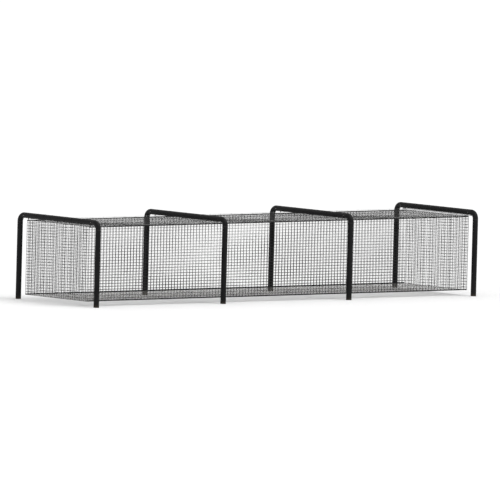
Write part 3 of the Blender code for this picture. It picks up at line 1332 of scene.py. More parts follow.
@dataclass
class Strap:
    """A flat strap welded under a beam, with a round hole for a cable or a rail."""

    node: str
    beam: Vector
    tube: float
    hole: float = 0.011
    eye: float = 0.024
    thickness: float = 0.010
    gap: float = 0.0003
    bead: float = 0.0035
    bead_aside: float = 0.3
    bead_out: float = 0.2
    ripple: float = 0.12

    def outline(self, away: Vector) -> list[Point2]:
        """Draw a strap that stands across its beam.

        Args:
            away: From the beam's middle to the hole's.

        Returns:
            The strap's outline about its hole.
        """
        reach = self.tube + self.gap
        lean = math.degrees(math.atan2(away.y, away.x))
        half = math.degrees(math.asin(self.eye / reach))
        top = arc((-away.x, -away.y), reach, lean + half, lean - half, 12)
        return top + arc((0, 0), self.eye, lean - 90, lean + 90, 24)

    def build(self) -> None:
        """Build the strap and the weld beads that hold it."""
        low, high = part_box(self.node)
        centre = Vector(((low.x + high.x) / 2, (low.y + high.y) / 2, low.z + self.eye))
        along_beam = high.x - low.x < high.y - low.y
        shape = Shape()
        if along_beam:
            rise = high.z - centre.z
            outline = [(self.eye, rise * i / 4) for i in range(5)]
            outline += [(self.eye * (1 - i / 6), rise) for i in range(1, 12)]
            outline += [(-self.eye, rise * (1 - i / 4)) for i in range(5)]
            outline += arc((0, 0), self.eye, 180, 360, 24)[1:-1]
            shape.plate(outline, self.hole, self.thickness, centre, turned_to(Y, Z))
            self.weld_along(shape, Vector((self.beam.x, centre.y, high.z)))
        else:
            away = Vector((centre.x - self.beam.x, centre.z - self.beam.z))
            centre = Vector((self.beam.x + away.x, centre.y, self.beam.z + away.y))
            shape.plate(self.outline(away), self.hole, self.thickness, centre, turned_to(X, Z))
            self.weld_round(shape, away, centre)
        dress(shape.piece(f"{self.node}_strap"), FRAME_COAT, Body.CAGE, self.node)

    def weld_along(self, shape: Shape, top: Vector) -> None:
        """Lay a bead on each face of a strap that stands along the beam.

        Args:
            shape: What the beads are added to.
            top: The middle of the strap's top edge.
        """
        for way in (-1, 1):
            aside = way * (self.thickness / 2 + self.bead * self.bead_aside)
            start = top + Vector((aside, -self.eye, 0))
            shape.strung(Spine(start, Y, X), self.bead_profile(2 * self.eye), 12)

    def weld_round(self, shape: Shape, away: Vector, centre: Vector) -> None:
        """Lay a bead on each face of a strap that stands across the beam, round the beam's side.

        Args:
            shape: What the beads are added to.
            away: From the beam's middle to the strap's hole.
            centre: The middle of the strap's hole.
        """
        reach = self.tube + self.gap + self.bead * self.bead_out
        lean = math.degrees(math.atan2(away.y, away.x))
        half = math.degrees(math.asin(self.eye / reach))
        path = arc((self.beam.x, self.beam.z), reach, lean - half, lean + half, 16)
        for way in (-1, 1):
            y = centre.y + way * (self.thickness / 2 + self.bead * self.bead_aside)
            line = np.array([[(x, y, z) for x, z in path]])
            along = Vector((path[-1][0] - path[0][0], 0, path[-1][1] - path[0][1])).normalized()
            section = disc(self.bead * (1.0 + self.ripple), 12)
            shape.bars(line, section, np.array(along.cross(Y)), -np.array(Y))

    def bead_profile(self, length: float, lumps: int = 12) -> list[Point2]:
        """Draw a rippled weld bead with tapered ends.

        Args:
            length: Its length.
            lumps: How many ripples it has.

        Returns:
            Its profile.
        """
        step = length / lumps
        girths = [1.0 + self.ripple * (-1) ** i for i in range(lumps + 1)]
        girths[0] = girths[-1] = 0.5
        return [(step * i, self.bead * girth) for i, girth in enumerate(girths)]


@dataclass
class CableRun:
    """A tensioned cable along one eave: turnbuckle, wire rope, terminal and the net's snap clips."""

    side: Side
    at: Layout
    sag: float = 0.006
    eye: float = 0.024
    eye_wire: float = 0.006
    shank: float = 0.007
    neck: float = 0.012
    neck_swell: float = 0.003
    run_out: float = 0.02
    socket: float = 0.010
    shank_end: float = 0.200
    socket_start: float = 0.425
    terminal: float = 0.160
    body_bore: float = 0.009
    body_waist: float = 0.002
    body_edge: float = 0.0012
    band: float = 0.025
    band_taper: float = 0.004
    tommy_hole: float = 0.005
    thread_pitch: float = 0.003
    thread_depth: float = 0.0009
    swage_depth: float = 0.0012
    swage_count: int = 3
    swage_slope: float = 0.003
    swage_width: float = 0.013
    swage_first: float = 0.2
    swage_step: float = 0.24
    swage_taper: float = 0.004
    clip_spacing: float = 0.6096
    clip_wire: float = 0.0025
    clip_width: float = 0.030
    clip_height: float = 0.068
    clip_lean: float = 14.0
    clear_of_turnbuckle: float = 0.6
    clear_of_terminal: float = 0.3
    clear_of_lug: float = 0.03

    @property
    def y(self) -> float:
        """Where the cable hangs across the cage."""
        return self.side.value * self.at.line_y

    def build(self) -> None:
        """Build the whole run."""
        self.rope()
        self.turnbuckle_body()
        self.turnbuckle_stud()
        self.turnbuckle_eye()
        self.terminal_eye()
        self.clips()

    def rope(self) -> None:
        """Build the wire rope, which hangs a little between the arches."""
        node = f"{self.side.label}_cable"
        low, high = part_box(node)
        radius = (high.z - low.z) / 2
        x = np.linspace(low.x, high.x, 90)
        line = np.stack([x, np.full_like(x, self.y), self.at.line_z - self.at.dip(x, self.sag)], axis=1)
        shape = Shape()
        shape.bars(line[None], disc(radius, 16), np.array(Y), np.array(Z))
        dress(shape.piece(f"{node}_rope"), WIRE, Body.CAGE, node)

    def turnbuckle_body(self) -> None:
        """Build the turnbuckle's body: a pipe with thick ends and a cross hole."""
        node = f"{self.side.label}_turnbuckle_body"
        low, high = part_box(node)
        length, collar = high.x - low.x, (high.z - low.z) / 2
        body, edge, band = collar - self.body_waist, self.body_edge, self.band
        start = Vector((low.x, self.y, self.at.line_z))
        outside = [(0, collar - edge), (edge, collar), (band, collar)]
        outside.append((band + self.band_taper, body))
        outside += [(length - distance, radius) for distance, radius in reversed(outside)]
        bore = [(length, self.body_bore + edge), (length - edge, self.body_bore)]
        bore += [(edge, self.body_bore), (0, self.body_bore + edge)]
        shape = Shape()
        shape.strung(Spine(start, X, Y), outside + bore, ROUND, closed=True)
        hole = Shape()
        below = start + X * length / 2 - Z * 2 * collar
        hole.strung(Spine(below, Z, X), [(0, self.tommy_hole), (4 * collar, self.tommy_hole)], ROUND)
        piece = fuse(shape.piece(f"{node}_pipe"), [hole.piece("tommy_hole_cutter")], "DIFFERENCE")
        dress(piece, ZINC, Body[f"{self.side.name}_TURNBUCKLE"], node)

    def threaded(self, start: float, end: float) -> list[Point2]:
        """Draw a threaded rod, crest and root in turn.

        Args:
            start: Where the thread starts.
            end: Where it ends.

        Returns:
            The rod's profile.
        """
        count = int(abs(end - start) / self.thread_pitch)
        step = (end - start) / count
        rings = []
        for turn in range(count):
            root = (start + (turn + 0.5) * step, self.shank - self.thread_depth)
            rings += [(start + turn * step, self.shank), root]
        return rings + [(end, self.shank)]

    def turnbuckle_stud(self) -> None:
        """Build the stud: a threaded rod and a swaged socket that grips the cable."""
        node = f"{self.side.label}_turnbuckle_stud"
        first = self.at.arch_x[0]
        low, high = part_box(node)
        profile = self.threaded(low.x - first, self.socket_start - self.run_out)
        profile += self.swage(self.socket_start, high.x - first)
        shape = Shape()
        shape.strung(Spine(Vector((first, self.y, self.at.line_z)), X, Y), profile, FINE)
        dress(shape.piece(f"{node}_rod"), ZINC, Body.CAGE, node)

    def swage(self, start: float, end: float) -> list[Point2]:
        """Draw a swaged socket, with pressed waists between its shoulders.

        Args:
            start: Where its shoulder starts.
            end: Where it ends.

        Returns:
            The socket's profile.
        """
        length, full, waist = end - start, self.socket, self.socket - self.swage_depth
        slope, width = self.swage_slope, self.swage_width
        rings = [(start, self.shank), (start + slope, full)]
        for press in range(self.swage_count):
            pressed = start + length * (self.swage_first + self.swage_step * press)
            rings += [(pressed, full), (pressed + slope, waist)]
            rings += [(pressed + width - slope, waist), (pressed + width, full)]
        return rings + [(end - self.swage_taper, full), (end, full - slope)]

    def eye_shape(
        self, name: str, lug_x: float, way: Vector, profile: list[Point2]
    ) -> bpy.types.Object:
        """Build a forged eye whose wire passes through a lug, with its shank along the cable.

        Args:
            name: The piece's name.
            lug_x: Where the lug is along the cage.
            way: The direction of the shank.
            profile: The shank's profile.

        Returns:
            The eye.
        """
        centre = Vector((lug_x, self.y, self.at.line_z))
        ring = Shape()
        circle = arc((0, 0), self.eye, 0, 352.5, 47)
        ring.loop(centre + way * self.eye, circle, self.eye_wire, turned_to(X, Y), 20)
        shank = Shape()
        shank.strung(Spine(centre, way, Y), profile, FINE)
        return fuse(ring.piece(name), [shank.piece(f"{name}_shank")])

    def turnbuckle_eye(self) -> None:
        """Build the turnbuckle's eye, whose threaded shank goes into the body."""
        node = f"{self.side.label}_turnbuckle_eye"
        start = 2 * self.eye - self.eye_wire / 2
        profile = [(start, self.shank + self.neck_swell), (start + self.neck, self.shank)]
        profile += self.threaded(start + self.run_out, self.shank_end)
        piece = self.eye_shape(f"{node}_forging", self.at.arch_x[0], X, profile)
        dress(piece, ZINC, Body.CAGE, node)

    def terminal_eye(self) -> None:
        """Build the fixed terminal at the other end of the cable."""
        node = f"{self.side.label}_cable_terminal"
        start = 2 * self.eye - self.eye_wire / 2
        profile = [(start, self.shank + self.neck_swell), (start + self.neck, self.shank)]
        profile += self.swage(self.terminal / 2, self.terminal + self.eye_wire)
        piece = self.eye_shape(f"{node}_forging", self.at.arch_x[-1], -X, profile)
        dress(piece, ZINC, Body.CAGE, node)

    def clips(self) -> None:
        """Hang snap clips on the cable, which carry the border rope of the net."""
        first = self.at.arch_x[0] + self.clear_of_turnbuckle
        last = self.at.arch_x[-1] - self.clear_of_terminal
        count = round((last - first) / self.clip_spacing)
        shape = Shape()
        rope_top = self.at.net_high.z
        for i in range(count + 1):
            x = first + (last - first) * i / count
            if min(abs(x - arch) for arch in self.at.arch_x) < self.clear_of_lug:
                x += 2 * self.clear_of_lug
            dip = float(self.at.dip(np.array(x), self.sag))
            centre = Vector((x, self.y, (self.at.line_z + rope_top) / 2 - dip))
            lean = Matrix.Rotation(math.radians(self.clip_lean * (-1) ** i), 3, "Z")
            link = stadium(self.clip_width, self.clip_height)
            shape.loop(centre, link, self.clip_wire, lean @ turned_to(Y, Z))
            self.gate(shape, centre, lean)
        dress(shape.piece(f"{self.side.label}_net_clips"), BRIGHT_ZINC, Body.CAGE)

    def gate(self, shape: Shape, centre: Vector, lean: Matrix) -> None:
        """Add the sleeve of a clip's spring gate on one of its straight sides.

        Args:
            shape: What the sleeve is added to.
            centre: The clip's middle.
            lean: How the clip is turned.
        """
        middle_point = centre + lean @ Vector((0, self.clip_width / 2, 0))
        sleeve = self.clip_wire + 0.0011
        shape.strung(Spine(middle_point, Z, X), chamfered(-0.009, 0.009, sleeve, 0.0006), 12)


@dataclass
class NetPanel:
    """A panel of black square-mesh net: fine twine, with a heavy rib every few meshes.

    The panel lies in the plane of two directions, and bulges along their normal between the edges and
    arches that hold it. Its ribs pass over and under each other. Its cords are round, or flat where
    their thickness is less than 1. Its slack is the share of the bulge that is left at the arches.
    """

    node: str
    start: Vector
    along: Vector
    up: Vector
    length: float
    height: float
    held: str
    hangs_from: tuple[str, ...]
    body: Body = Body.CAGE
    twine: float = 0.0014
    rib: float = 0.0175
    thickness: float = 1.0
    ribs_along: int = 4
    ribs_up: int = 3
    bulge: float = 0.0
    span: float = 0.0
    first_hold: float = 0.0
    slack: float = 0.35
    ripple: float = 0.004
    stride: int = 4
    sides: int = 6
    twine_sides: int = 3
    crossing: float = 0.2
    least_cover: float = 0.3
    still_edge: float = 0.5
    finish: Finish = TWINE

    @property
    def normal(self) -> Vector:
        """The direction that the panel faces."""
        return self.along.cross(self.up)

    def meshes(self, size: float, group: int) -> int:
        """Count the meshes that fit a side, in whole groups between its ribs.

        Args:
            size: The side's length.
            group: How many meshes are between two ribs.

        Returns:
            The number of meshes.
        """
        return max(1, round(size / PITCH / group)) * group

    def off_plane(self, u: np.ndarray, v: np.ndarray) -> np.ndarray:
        """Work out how far the panel stands off its plane.

        Args:
            u: Places along its first direction.
            v: Places along its second direction.

        Returns:
            The distance at each place.
        """
        s, t = u / self.length, v / self.height
        held = np.sin(np.pi * np.clip(t, 0, 1))
        ends = np.clip(np.minimum(s, 1 - s) * self.length / self.still_edge, 0, 1)
        if self.span:
            between = np.sin(np.pi * (u - self.first_hold) / self.span) ** 2
        else:
            between = np.sin(np.pi * s)
        free = self.slack + (1 - self.slack) * between
        wave = np.sin(u * 3.1 + 1.3 * np.sin(v * 2.3)) * np.sin(v * 4.7 + 0.8) * self.ripple
        return (self.bulge + wave) * free * held * ends * ends * (3 - 2 * ends)

    def spot(self, u: np.ndarray, v: np.ndarray) -> np.ndarray:
        """Find points of the panel.

        Args:
            u: Places along its first direction.
            v: Places along its second direction.

        Returns:
            The point at each place.
        """
        u, v = np.broadcast_arrays(u, v)
        place = np.array(self.start) + u[..., None] * np.array(self.along)
        place = place + v[..., None] * np.array(self.up)
        return place + self.off_plane(u, v)[..., None] * np.array(self.normal)

    def ribs(self, shape: Shape) -> float:
        """Lay the heavy ribs both ways.

        Args:
            shape: What they are added to.

        Returns:
            Their length together.
        """
        count_u = self.meshes(self.length, self.ribs_along) // self.ribs_along
        count_v = self.meshes(self.height, self.ribs_up) // self.ribs_up
        u, v = np.linspace(0, self.length, count_u + 1), np.linspace(0, self.height, count_v + 1)
        odd = (np.arange(count_v + 1)[:, None] + np.arange(count_u + 1)[None]) % 2
        weave = np.where(odd, 1.0, -1.0)
        lift = weave[..., None] * self.rib * self.thickness * self.crossing * np.array(self.normal)
        crossings = self.spot(u[None, :], v[:, None])
        flat = self.section(self.rib, self.sides)
        along, up, normal = (np.array(d) for d in (self.along, self.up, self.normal))
        shape.bars((crossings + lift)[1:-1], flat, up, normal)
        shape.bars((crossings - lift).transpose(1, 0, 2)[1:-1], flat * (1, -1), along, normal)
        return (count_v - 1) * self.length + (count_u - 1) * self.height

    def twines(self, shape: Shape) -> float:
        """Lay the fine twine both ways between the ribs.

        Args:
            shape: What it is added to.

        Returns:
            Its length together.
        """
        flat = self.section(self.twine, self.twine_sides)
        along, up, normal = (np.array(d) for d in (self.along, self.up, self.normal))
        many_u = self.meshes(self.length, self.ribs_along)
        many_v = self.meshes(self.height, self.ribs_up)
        u_at = self.stations(many_u, self.length, self.ribs_along * self.stride)
        v_at = self.stations(many_v, self.height, self.ribs_up * self.stride)
        v_lines = np.array([i for i in range(many_v) if i % self.ribs_up]) * self.height / many_v
        u_lines = np.array([i for i in range(many_u) if i % self.ribs_along]) * self.length / many_u
        shape.bars(self.spot(u_at[None, :], v_lines[:, None]), flat, up, normal)
        shape.bars(self.spot(u_lines[:, None], v_at[None, :]), flat * (1, -1), along, normal)
        return len(v_lines) * self.length + len(u_lines) * self.height

    def section(self, width: float, sides: int) -> np.ndarray:
        """Return the outline of a cord's section, with its width along the first direction."""
        return disc(width / 2, sides) * (1.0, self.thickness)

    def girth(self, width: float, sides: int) -> float:
        """Return the length round a cord's section."""
        outline = self.section(width, sides)
        return float(np.linalg.norm(outline - np.roll(outline, 1, axis=0), axis=1).sum())

    @staticmethod
    def stations(many: int, size: float, step: int) -> np.ndarray:
        """Find where a twine is bent: at its two ends, and every so many meshes between them.

        Args:
            many: How many meshes it runs past.
            size: Its length.
            step: How many meshes are between two bends.

        Returns:
            The bends' places along it.
        """
        return np.linspace(0, size, max(2, round(many / step) + 1))

    def build(self, edges: Sequence[bpy.types.Object] = ()) -> bpy.types.Object:
        """Args:
            edges: The ropes and tapes along its edges. Not used.

        Returns:
            The panel.
        """
        shape = Shape()
        rib_length, twine_length = self.ribs(shape), self.twines(shape)
        made = shape.piece(f"{self.node}_mesh", sharp=75, tidy=False)
        piece = dress(made, self.finish, self.body, self.node)
        return piece


@dataclass
class NetBorder:
    """The ropes and bound tapes along the edges of the net's box."""

    at: Layout
    rope: float = 0.014
    tape_width: float = 0.034
    tape_thickness: float = 0.006
    scallop: float = 0.005
    clip_spacing: float = 0.6096
    cable_sag: float = 0.006
    steps: int = 6

    def corners(self) -> tuple[Vector, Vector]:
        """Return the lowest and highest corner of the box that the ropes run along."""
        return self.at.net_low + X * ROPE_INSET, self.at.net_high - X * ROPE_INSET

    def line(self, start: Vector, end: Vector, hanging: bool) -> np.ndarray:
        """Draw an edge of the net.

        Args:
            start: Where it starts.
            end: Where it ends.
            hanging: Whether it dips between its clips and with the cable.

        Returns:
            Its points.
        """
        count = max(2, round((end - start).length / self.clip_spacing * self.steps))
        share = np.linspace(0, 1, count + 1)[:, None]
        points = np.array(start) * (1 - share) + np.array(end) * share
        if hanging:
            run = share[:, 0] * (end - start).length
            points[:, 2] -= self.scallop * np.sin(np.pi * run / self.clip_spacing) ** 2
            points[:, 2] -= self.at.dip(points[:, 0], self.cable_sag)
        return points

    def edge(
        self, name: str, start: Vector, end: Vector, hanging: bool = False, body: Body = Body.CAGE
    ) -> bpy.types.Object:
        """Build one border rope between two corners.

        Args:
            name: The piece's name.
            start: Where the rope starts.
            end: Where it ends.
            hanging: Whether it hangs from clips.
            body: The body that it rides on.

        Returns:
            The rope.
        """
        way = (end - start).normalized()
        first = X if abs(way.x) < 0.5 else Y
        second = way.cross(first)
        shape = Shape()
        points = self.line(start, end, hanging)
        shape.bars(points[None], disc(self.rope / 2, 12), np.array(first), np.array(second))
        return dress(shape.piece(name), ROPE, body)

    def tape(self, name: str, start: Vector, end: Vector) -> bpy.types.Object:
        """Build one upright tape that is sewn along the edge of the net.

        Args:
            name: The piece's name.
            start: Where the tape starts, on its middle line.
            end: Where it ends.

        Returns:
            The tape.
        """
        second = (end - start).normalized().cross(Z)
        shape = Shape()
        points = self.line(start, end, False)
        section = slab(self.tape_width, self.tape_thickness)
        shape.bars(points[None], section, np.array(Z), np.array(second))
        return dress(shape.piece(name), TAPE, Body.CAGE)

    def build(self) -> dict[str, list[bpy.types.Object]]:
        """Build every border of the box.

        Returns:
            The borders, by the panel that they bound.
        """
        low, high = self.corners()
        down = Z * (self.tape_width / 2 + self.rope / 2)
        edges: dict[str, list[bpy.types.Object]] = {}
        for side, y in ((Side.NEAR, low.y), (Side.FAR, high.y)):
            wall = f"net_{side.label}_wall"
            top = Vector((low.x, y, high.z)), Vector((high.x, y, high.z))
            hem = Vector((low.x, y, low.z)), Vector((high.x, y, low.z))
            edges[wall] = [
                self.edge(f"{wall}_top_rope", *top, hanging=True),
                self.edge(f"{wall}_hem_rope", *hem),
                self.tape(f"{wall}_top_tape", *(corner - down for corner in top)),
                self.tape(f"{wall}_hem_tape", *(corner + down for corner in hem)),
            ]
        for label, x in (("left", low.x), ("right", high.x)):
            end = f"net_{label}_end"
            edges[end] = self.round_end(end, x)
        jamb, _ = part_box("net_right_end")
        foot, head = Vector((high.x, jamb.y, low.z)), Vector((high.x, jamb.y, high.z))
        edges["net_right_end"].append(self.edge("net_right_end_jamb_rope", foot, head))
        return edges

    def round_end(self, end: str, x: float) -> list[bpy.types.Object]:
        """Build the four ropes round an end of the box.

        Args:
            end: The end's name.
            x: Where it stands along the cage.

        Returns:
            The ropes.
        """
        low, high = self.corners()
        runs = {
            "top": ((low.y, high.z), (high.y, high.z)),
            "hem": ((low.y, low.z), (high.y, low.z)),
            "near": ((low.y, low.z), (low.y, high.z)),
            "far": ((high.y, low.z), (high.y, high.z)),
        }
        return [
            self.edge(f"{end}_{label}_rope", Vector((x, *start)), Vector((x, *finish)))
            for label, (start, finish) in runs.items()
        ]


@dataclass
class Ties:
    """Black cords that tie the net's roof and ends up to the beams."""

    at: Layout
    cord: float = 0.0025
    end_count: int = 7
    roof_count: int = 3
    grip: float = 0.009
    rib_meshes: int = 4
    spread: float = 0.8

    def build(self) -> None:
        """Tie the net to every beam, closer together at the ends of the cage."""
        for number, x in enumerate(self.at.arch_x, start=1):
            at_end = number in (1, len(self.at.arch_x))
            count = self.end_count if at_end else self.roof_count
            reach = self.at.line_y * self.spread
            rope_x = self.held_line(x)
            shape = Shape()
            for i in range(count):
                y = reach * (2 * (i + 0.5) / count - 1)
                self.tie(shape, x, y, rope_x)
            dress(shape.piece(f"frame_{number}_net_ties"), ROPE, Body.CAGE)

    def held_line(self, x: float) -> float:
        """Find what the ties of an arch hold: the left end's rope, or the roof's nearest inner rib.

        Args:
            x: Where the arch stands along the cage.

        Returns:
            Where the rope or rib runs along the cage.
        """
        low, high = self.at.net_low.x, self.at.net_high.x
        if x == self.at.arch_x[0]:
            return low + ROPE_INSET
        count = round((high - low) / PITCH / self.rib_meshes)
        pitch = (high - low) / count
        return low + min(round((x - low) / pitch), count - 1) * pitch

    def tie(self, shape: Shape, x: float, y: float, rope_x: float) -> None:
        """Add one loop that goes round a beam and under the net's rope or rib beside or below it.

        Args:
            shape: What the loop is added to.
            x: Where the beam is along the cage.
            y: Where the loop is along the beam.
            rope_x: Where the rope or rib runs.
        """
        radius = self.at.tube + self.cord
        rope = Vector((rope_x - x, self.at.net_high.z - self.at.beam_z))
        lean = math.degrees(math.atan2(rope.y, rope.x))
        open_by = math.degrees(math.acos((radius - self.grip) / rope.length))
        path = arc((0, 0), radius, lean + open_by, lean + 360 - open_by, 40)
        path += arc((rope.x, rope.y), self.grip, lean - open_by, lean + open_by, 10)
        shape.loop(Vector((x, y, self.at.beam_z)), path, self.cord, turned_to(X, Z), 8)


@dataclass
class Net:
    """The closed box of net: two walls, a roof, a floor and two ends."""

    at: Layout
    wall_bulge: float = 0.018
    roof_sag: float = 0.045
    end_bulge: float = 0.012

    def build(self) -> None:
        """Build the borders, and then the panel that each bounds."""
        edges = NetBorder(self.at).build()
        for side in Side:
            self.wall(side, edges)
        self.roof()
        self.floor()
        self.end("net_left_end", edges, self.end_bulge, rib=0.016, twine=0.0026)
        self.end("net_right_end", edges, -self.end_bulge, rib=0.013, twine=0.0018)

    def long_panel(
        self, node: str, y: float, z: float, up: Vector, size: float, **rest: object
    ) -> NetPanel:
        """Lay out a panel as long as the cage, which the arches hold.

        Args:
            node: The node that it stands for.
            y: Where it starts across the cage.
            z: Where it starts upwards.
            up: Its second direction.
            size: Its size that way.
            rest: More fields of the panel.

        Returns:
            The panel, which isn't built yet.
        """
        low, high = self.at.net_low, self.at.net_high
        return NetPanel(
            node,
            Vector((low.x, y, z)),
            X,
            up,
            high.x - low.x,
            size,
            span=self.at.bay,
            first_hold=self.at.arch_x[0] - low.x,
            **rest,
        )

    def wall(self, side: Side, edges: dict[str, list[bpy.types.Object]]) -> None:
        """Build a long wall, which hangs from its cable and bulges inwards.

        Args:
            side: The side of the cage.
            edges: The borders, by the panel that they bound.
        """
        low, high = self.at.net_low, self.at.net_high
        node = f"net_{side.label}_wall"
        self.long_panel(
            node,
            side.value * self.at.line_y,
            low.z,
            Z,
            high.z - low.z,
            held="hung",
            hangs_from=(f"{side.label}_cable_rope",),
            bulge=self.wall_bulge * -side.value,
        ).build(edges[node])

    def roof(self) -> None:
        """Build the roof, which sags between the arches and is held at its level there."""
        low, high = self.at.net_low, self.at.net_high
        self.long_panel(
            "net_roof",
            low.y,
            high.z,
            Y,
            high.y - low.y,
            held="stretched",
            hangs_from=("near_cable_rope", "far_cable_rope"),
            rib=0.0085,
            twine=0.0034,
            thickness=0.42,
            bulge=-self.roof_sag,
            slack=0.0,
            ripple=0.006,
        ).build()

    def floor(self) -> None:
        """Build the floor, which lies flat and is trodden."""
        low, high = self.at.net_low, self.at.net_high
        self.long_panel(
            "net_floor",
            low.y,
            low.z,
            Y,
            high.y - low.y,
            held="laid",
            hangs_from=("net_near_wall_mesh", "net_far_wall_mesh"),
            rib=0.0095,
            twine=0.0038,
            thickness=0.3,
            ripple=0.003,
            finish=FLOOR_TWINE,
        ).build()

    def end(
        self,
        node: str,
        edges: dict[str, list[bpy.types.Object]],
        bulge: float,
        rib: float,
        twine: float,
    ) -> None:
        """Build one end panel, as wide as its node.

        Args:
            node: The node that it stands for.
            edges: The borders, by the panel that they bound.
            bulge: How far its middle stands towards +X.
            rib: How thick its ribs are.
            twine: How thick its twine is.
        """
        low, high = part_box(node)
        NetPanel(
            node,
            Vector(((low.x + high.x) / 2, low.y, low.z)),
            Y,
            Z,
            high.y - low.y,
            high.z - low.z,
            "hung",
            (f"{node}_top_rope",),
            rib=rib,
            twine=twine,
            ribs_along=3,
            bulge=bulge,
            stride=2,
        ).build(edges[node])


@dataclass
class EntryCurtain:
    """The entry: a curtain of net on rings, the rail that they run on, and its hangers."""

    at: Layout
    rings: int = 4
    hanger_eye: float = 0.025
    hanger_hole: float = 0.0142
    rail_wall: float = 0.0026
    rail_edge: float = 0.0008
    plug_depth: float = 0.015
    plug_play: float = 0.0002
    plug_lip: float = 0.0006
    plug_dome: float = 0.004
    rope: float = 0.010
    rope_drop: float = 0.002
    rib: float = 0.013
    twine: float = 0.0018
    bulge: float = 0.004
    wave: float = 0.007
    tie_wire: float = 0.0016
    tie_width: float = 0.018
    tie_pitch: float = 0.0035

    def build(self) -> None:
        """Build the rail, then what hangs on it."""
        self.rail()
        beam = middle("frame_4_beam")
        for side in Side:
            node = f"curtain_rail_{side.label}_hanger"
            Strap(node, beam, self.at.tube, self.hanger_hole, self.hanger_eye).build()
        self.curtain([self.ring(number) for number in range(1, self.rings + 1)])

    def rail(self) -> None:
        """Build the rail with a domed plastic plug in each end."""
        low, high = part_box("curtain_rail")
        radius = (high.x - low.x) / 2
        spine = Spine(Vector(((low.x + high.x) / 2, low.y, self.at.line_z)), Y, X)
        length = high.y - low.y
        shape = Shape()
        profile = pipe(0, length, radius, radius - self.rail_wall, self.rail_edge)
        shape.strung(spine, profile, ROUND, closed=True)
        dress(shape.piece("curtain_rail_pipe"), ZINC, Body.CAGE, "curtain_rail")
        plugs = Shape()
        for start, way in ((low.y, -Y), (high.y, Y)):
            base = Vector((spine.start.x, start, self.at.line_z))
            stem, lip = radius - self.rail_wall - self.plug_play, radius + self.plug_lip
            plug = [(-self.plug_depth, stem), (0.0, stem), (0.0, lip)]
            plug += [(self.plug_dome * math.sin(a), lip * math.cos(a)) for a in (0.4, 0.8, 1.2, 1.45)]
            plugs.strung(Spine(base, way, X), plug, ROUND)
        dress(plugs.piece("curtain_rail_plugs"), PLASTIC, Body.CAGE)

    def ring(self, number: int) -> bpy.types.Object:
        """Build a ring on the rail and the cord that ties it to the curtain's rope.

        Args:
            number: The ring's number.

        Returns:
            The tie.
        """
        node = f"curtain_ring_{number}"
        low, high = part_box(node)
        centre = (low + high) / 2
        wire = (high.y - low.y) / 2
        radius = (high.z - low.z) / 2 - wire
        shape = Shape()
        shape.loop(centre, arc((0, 0), radius, 0, 354, 59), wire, turned_to(X, Z), 16)
        dress(shape.piece(f"{node}_wire"), ZINC, Body.CURTAIN, node)
        rope_z = self.rope_height()
        top = low.z + 2 * wire + 2 * self.tie_wire
        bottom = rope_z - self.rope / 2 - 2 * self.tie_wire
        tie = Shape()
        turn = Matrix.Rotation(math.radians(45), 3, "Z") @ turned_to(Y, Z)
        middle_point = Vector((centre.x, centre.y, (top + bottom) / 2))
        for shift in (-self.tie_pitch, 0.0, self.tie_pitch):
            aside = Vector((shift, -shift, 0))
            tie.loop(middle_point + aside, stadium(self.tie_width, top - bottom), self.tie_wire, turn)
        return dress(tie.piece(f"{node}_tie"), ROPE, Body.CURTAIN)

    def rope_height(self) -> float:
        """Return the height of the middle of the curtain's top rope."""
        _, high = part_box("entry_curtain")
        return high.z - self.rope / 2 - self.rope_drop

    def curtain(self, ties: list[bpy.types.Object]) -> None:
        """Build the curtain and the ropes round it.

        Args:
            ties: The cords that tie it to its rings.
        """
        low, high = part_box("entry_curtain")
        x = (low.x + high.x) / 2
        top = self.rope_height()
        border = NetBorder(self.at, rope=self.rope)
        places = ((low.y, low.z), (high.y, low.z), (high.y, top), (low.y, top))
        corners = [Vector((x, y, z)) for y, z in places]
        labels = ("hem", "inner", "top", "outer")
        ropes = []
        for label, (start, end) in zip(labels, zip(corners, corners[1:] + corners[:1])):
            ropes.append(border.edge(f"entry_curtain_{label}_rope", start, end, body=Body.CURTAIN))
        NetPanel(
            "entry_curtain",
            Vector((x, low.y, low.z)),
            Y,
            Z,
            high.y - low.y,
            top - low.z,
            "hung",
            tuple(f"curtain_ring_{n}_wire" for n in range(1, self.rings + 1)),
            body=Body.CURTAIN,
            rib=self.rib,
            twine=self.twine,
            ribs_along=3,
            bulge=self.bulge,
            ripple=self.wave,
            stride=1,
        ).build(ropes + ties)


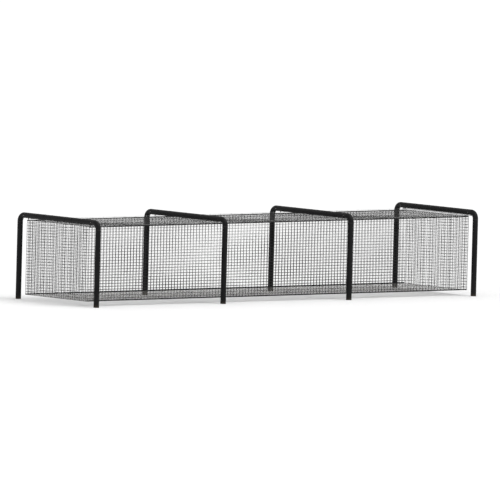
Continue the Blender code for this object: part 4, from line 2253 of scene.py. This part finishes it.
@dataclass
class Studio:
    """The floor, the light and the camera. The angles are in degrees."""

    azimuth: float = -39.03
    elevation: float = 3.9
    roll: float = 1.5
    distance: float = 1000.0
    lens: float = 1635.0
    aim: tuple[float, float, float] = (0.0, 0.0, 1.85)
    right: float = 0.085
    up: float = 0.247
    sensor: float = 36.0
    clip: tuple[float, float] = (1.0, 3000.0)
    floor_radius: float = 900.0
    floor_drop: float = 0.001
    surround: float = 0.8
    key: float = 1.3
    key_softness: float = 35.0
    key_from: tuple[float, float, float] = (0.45, -0.75, 1.5)

    def build(self) -> None:
        """Set the floor, the light and the camera."""
        self.floor()
        self.light()
        self.camera()
        bpy.context.scene.view_settings.view_transform = "Standard"

    def floor(self) -> None:
        """Lay a wide round floor just under the feet."""
        shape = Shape()
        radii = [self.floor_radius * share for share in (1.0, 0.25, 0.06, 0.015)]
        angles = np.arange(ROUND) * math.tau / ROUND
        points = [(r * math.cos(a), r * math.sin(a), -self.floor_drop) for r in radii for a in angles]
        inner = list(range((len(radii) - 1) * ROUND, len(radii) * ROUND))
        faces = ring_faces(len(radii), ROUND, False)[:-2] + [inner]
        shape.add(np.array(points), faces)
        floor = shape.piece("floor", tidy=False)
        floor.data.materials.append(PaleFloor().material())

    def light(self) -> None:
        """Light the cage from a white surround, and softly from above on the near side."""
        world = bpy.data.worlds.new("white_surround")
        world.use_nodes = True
        bpy.context.scene.world = world
        graph = Graph(world.node_tree)
        background = world.node_tree.nodes["Background"]
        seen = graph.add("LightPath").outputs["Is Camera Ray"]
        graph.feed(background.inputs["Color"], rgb(1.0, 1.0, 1.0))
        graph.feed(background.inputs["Strength"], graph.ramp(seen, 0.0, 1.0, self.surround, 1.0))
        lamp = bpy.data.lights.new("soft_key", "SUN")
        lamp.energy = self.key
        lamp.angle = math.radians(self.key_softness)
        key = bpy.data.objects.new("soft_key", lamp)
        key.rotation_euler = Vector(self.key_from).to_track_quat("Z", "Y").to_euler()
        bpy.context.scene.collection.objects.link(key)

    def camera(self) -> None:
        """Place the camera far off with a long lens, turned and raised as the view asks."""
        turn, rise = math.radians(self.azimuth), math.radians(self.elevation)
        level = math.cos(rise)
        back = Vector((math.sin(turn) * level, -math.cos(turn) * level, math.sin(rise)))
        right = Z.cross(back).normalized()
        up = back.cross(right)
        data = bpy.data.cameras.new("camera")
        data.sensor_width = self.sensor
        data.lens = self.lens
        data.clip_start, data.clip_end = self.clip
        camera = bpy.data.objects.new("camera", data)
        place = Vector(self.aim) + back * self.distance + right * self.right + up * self.up
        tilt = Matrix.Rotation(math.radians(self.roll), 3, back)
        camera.matrix_world = Matrix.Translation(place) @ (tilt @ turned_to(right, up)).to_4x4()
        bpy.context.scene.collection.objects.link(camera)
        bpy.context.scene.camera = camera


def main() -> None:
    """Build every sub-assembly in order, then the studio."""
    logging.basicConfig(level=logging.INFO, format="%(name)s: %(message)s")
    at = Layout.read()
    Studio().build()
    for number in range(1, len(at.arch_x) + 1):
        Arch(number, at).build()
        for side in Side:
            beam = Vector((at.arch_x[number - 1], 0, at.beam_z))
            Strap(f"frame_{number}_{side.label}_lug", beam, at.tube).build()
    for side in Side:
        CableRun(side, at).build()
    Net(at).build()
    Ties(at).build()
    EntryCurtain(at).build()


if __name__ == "__main__":
    main()
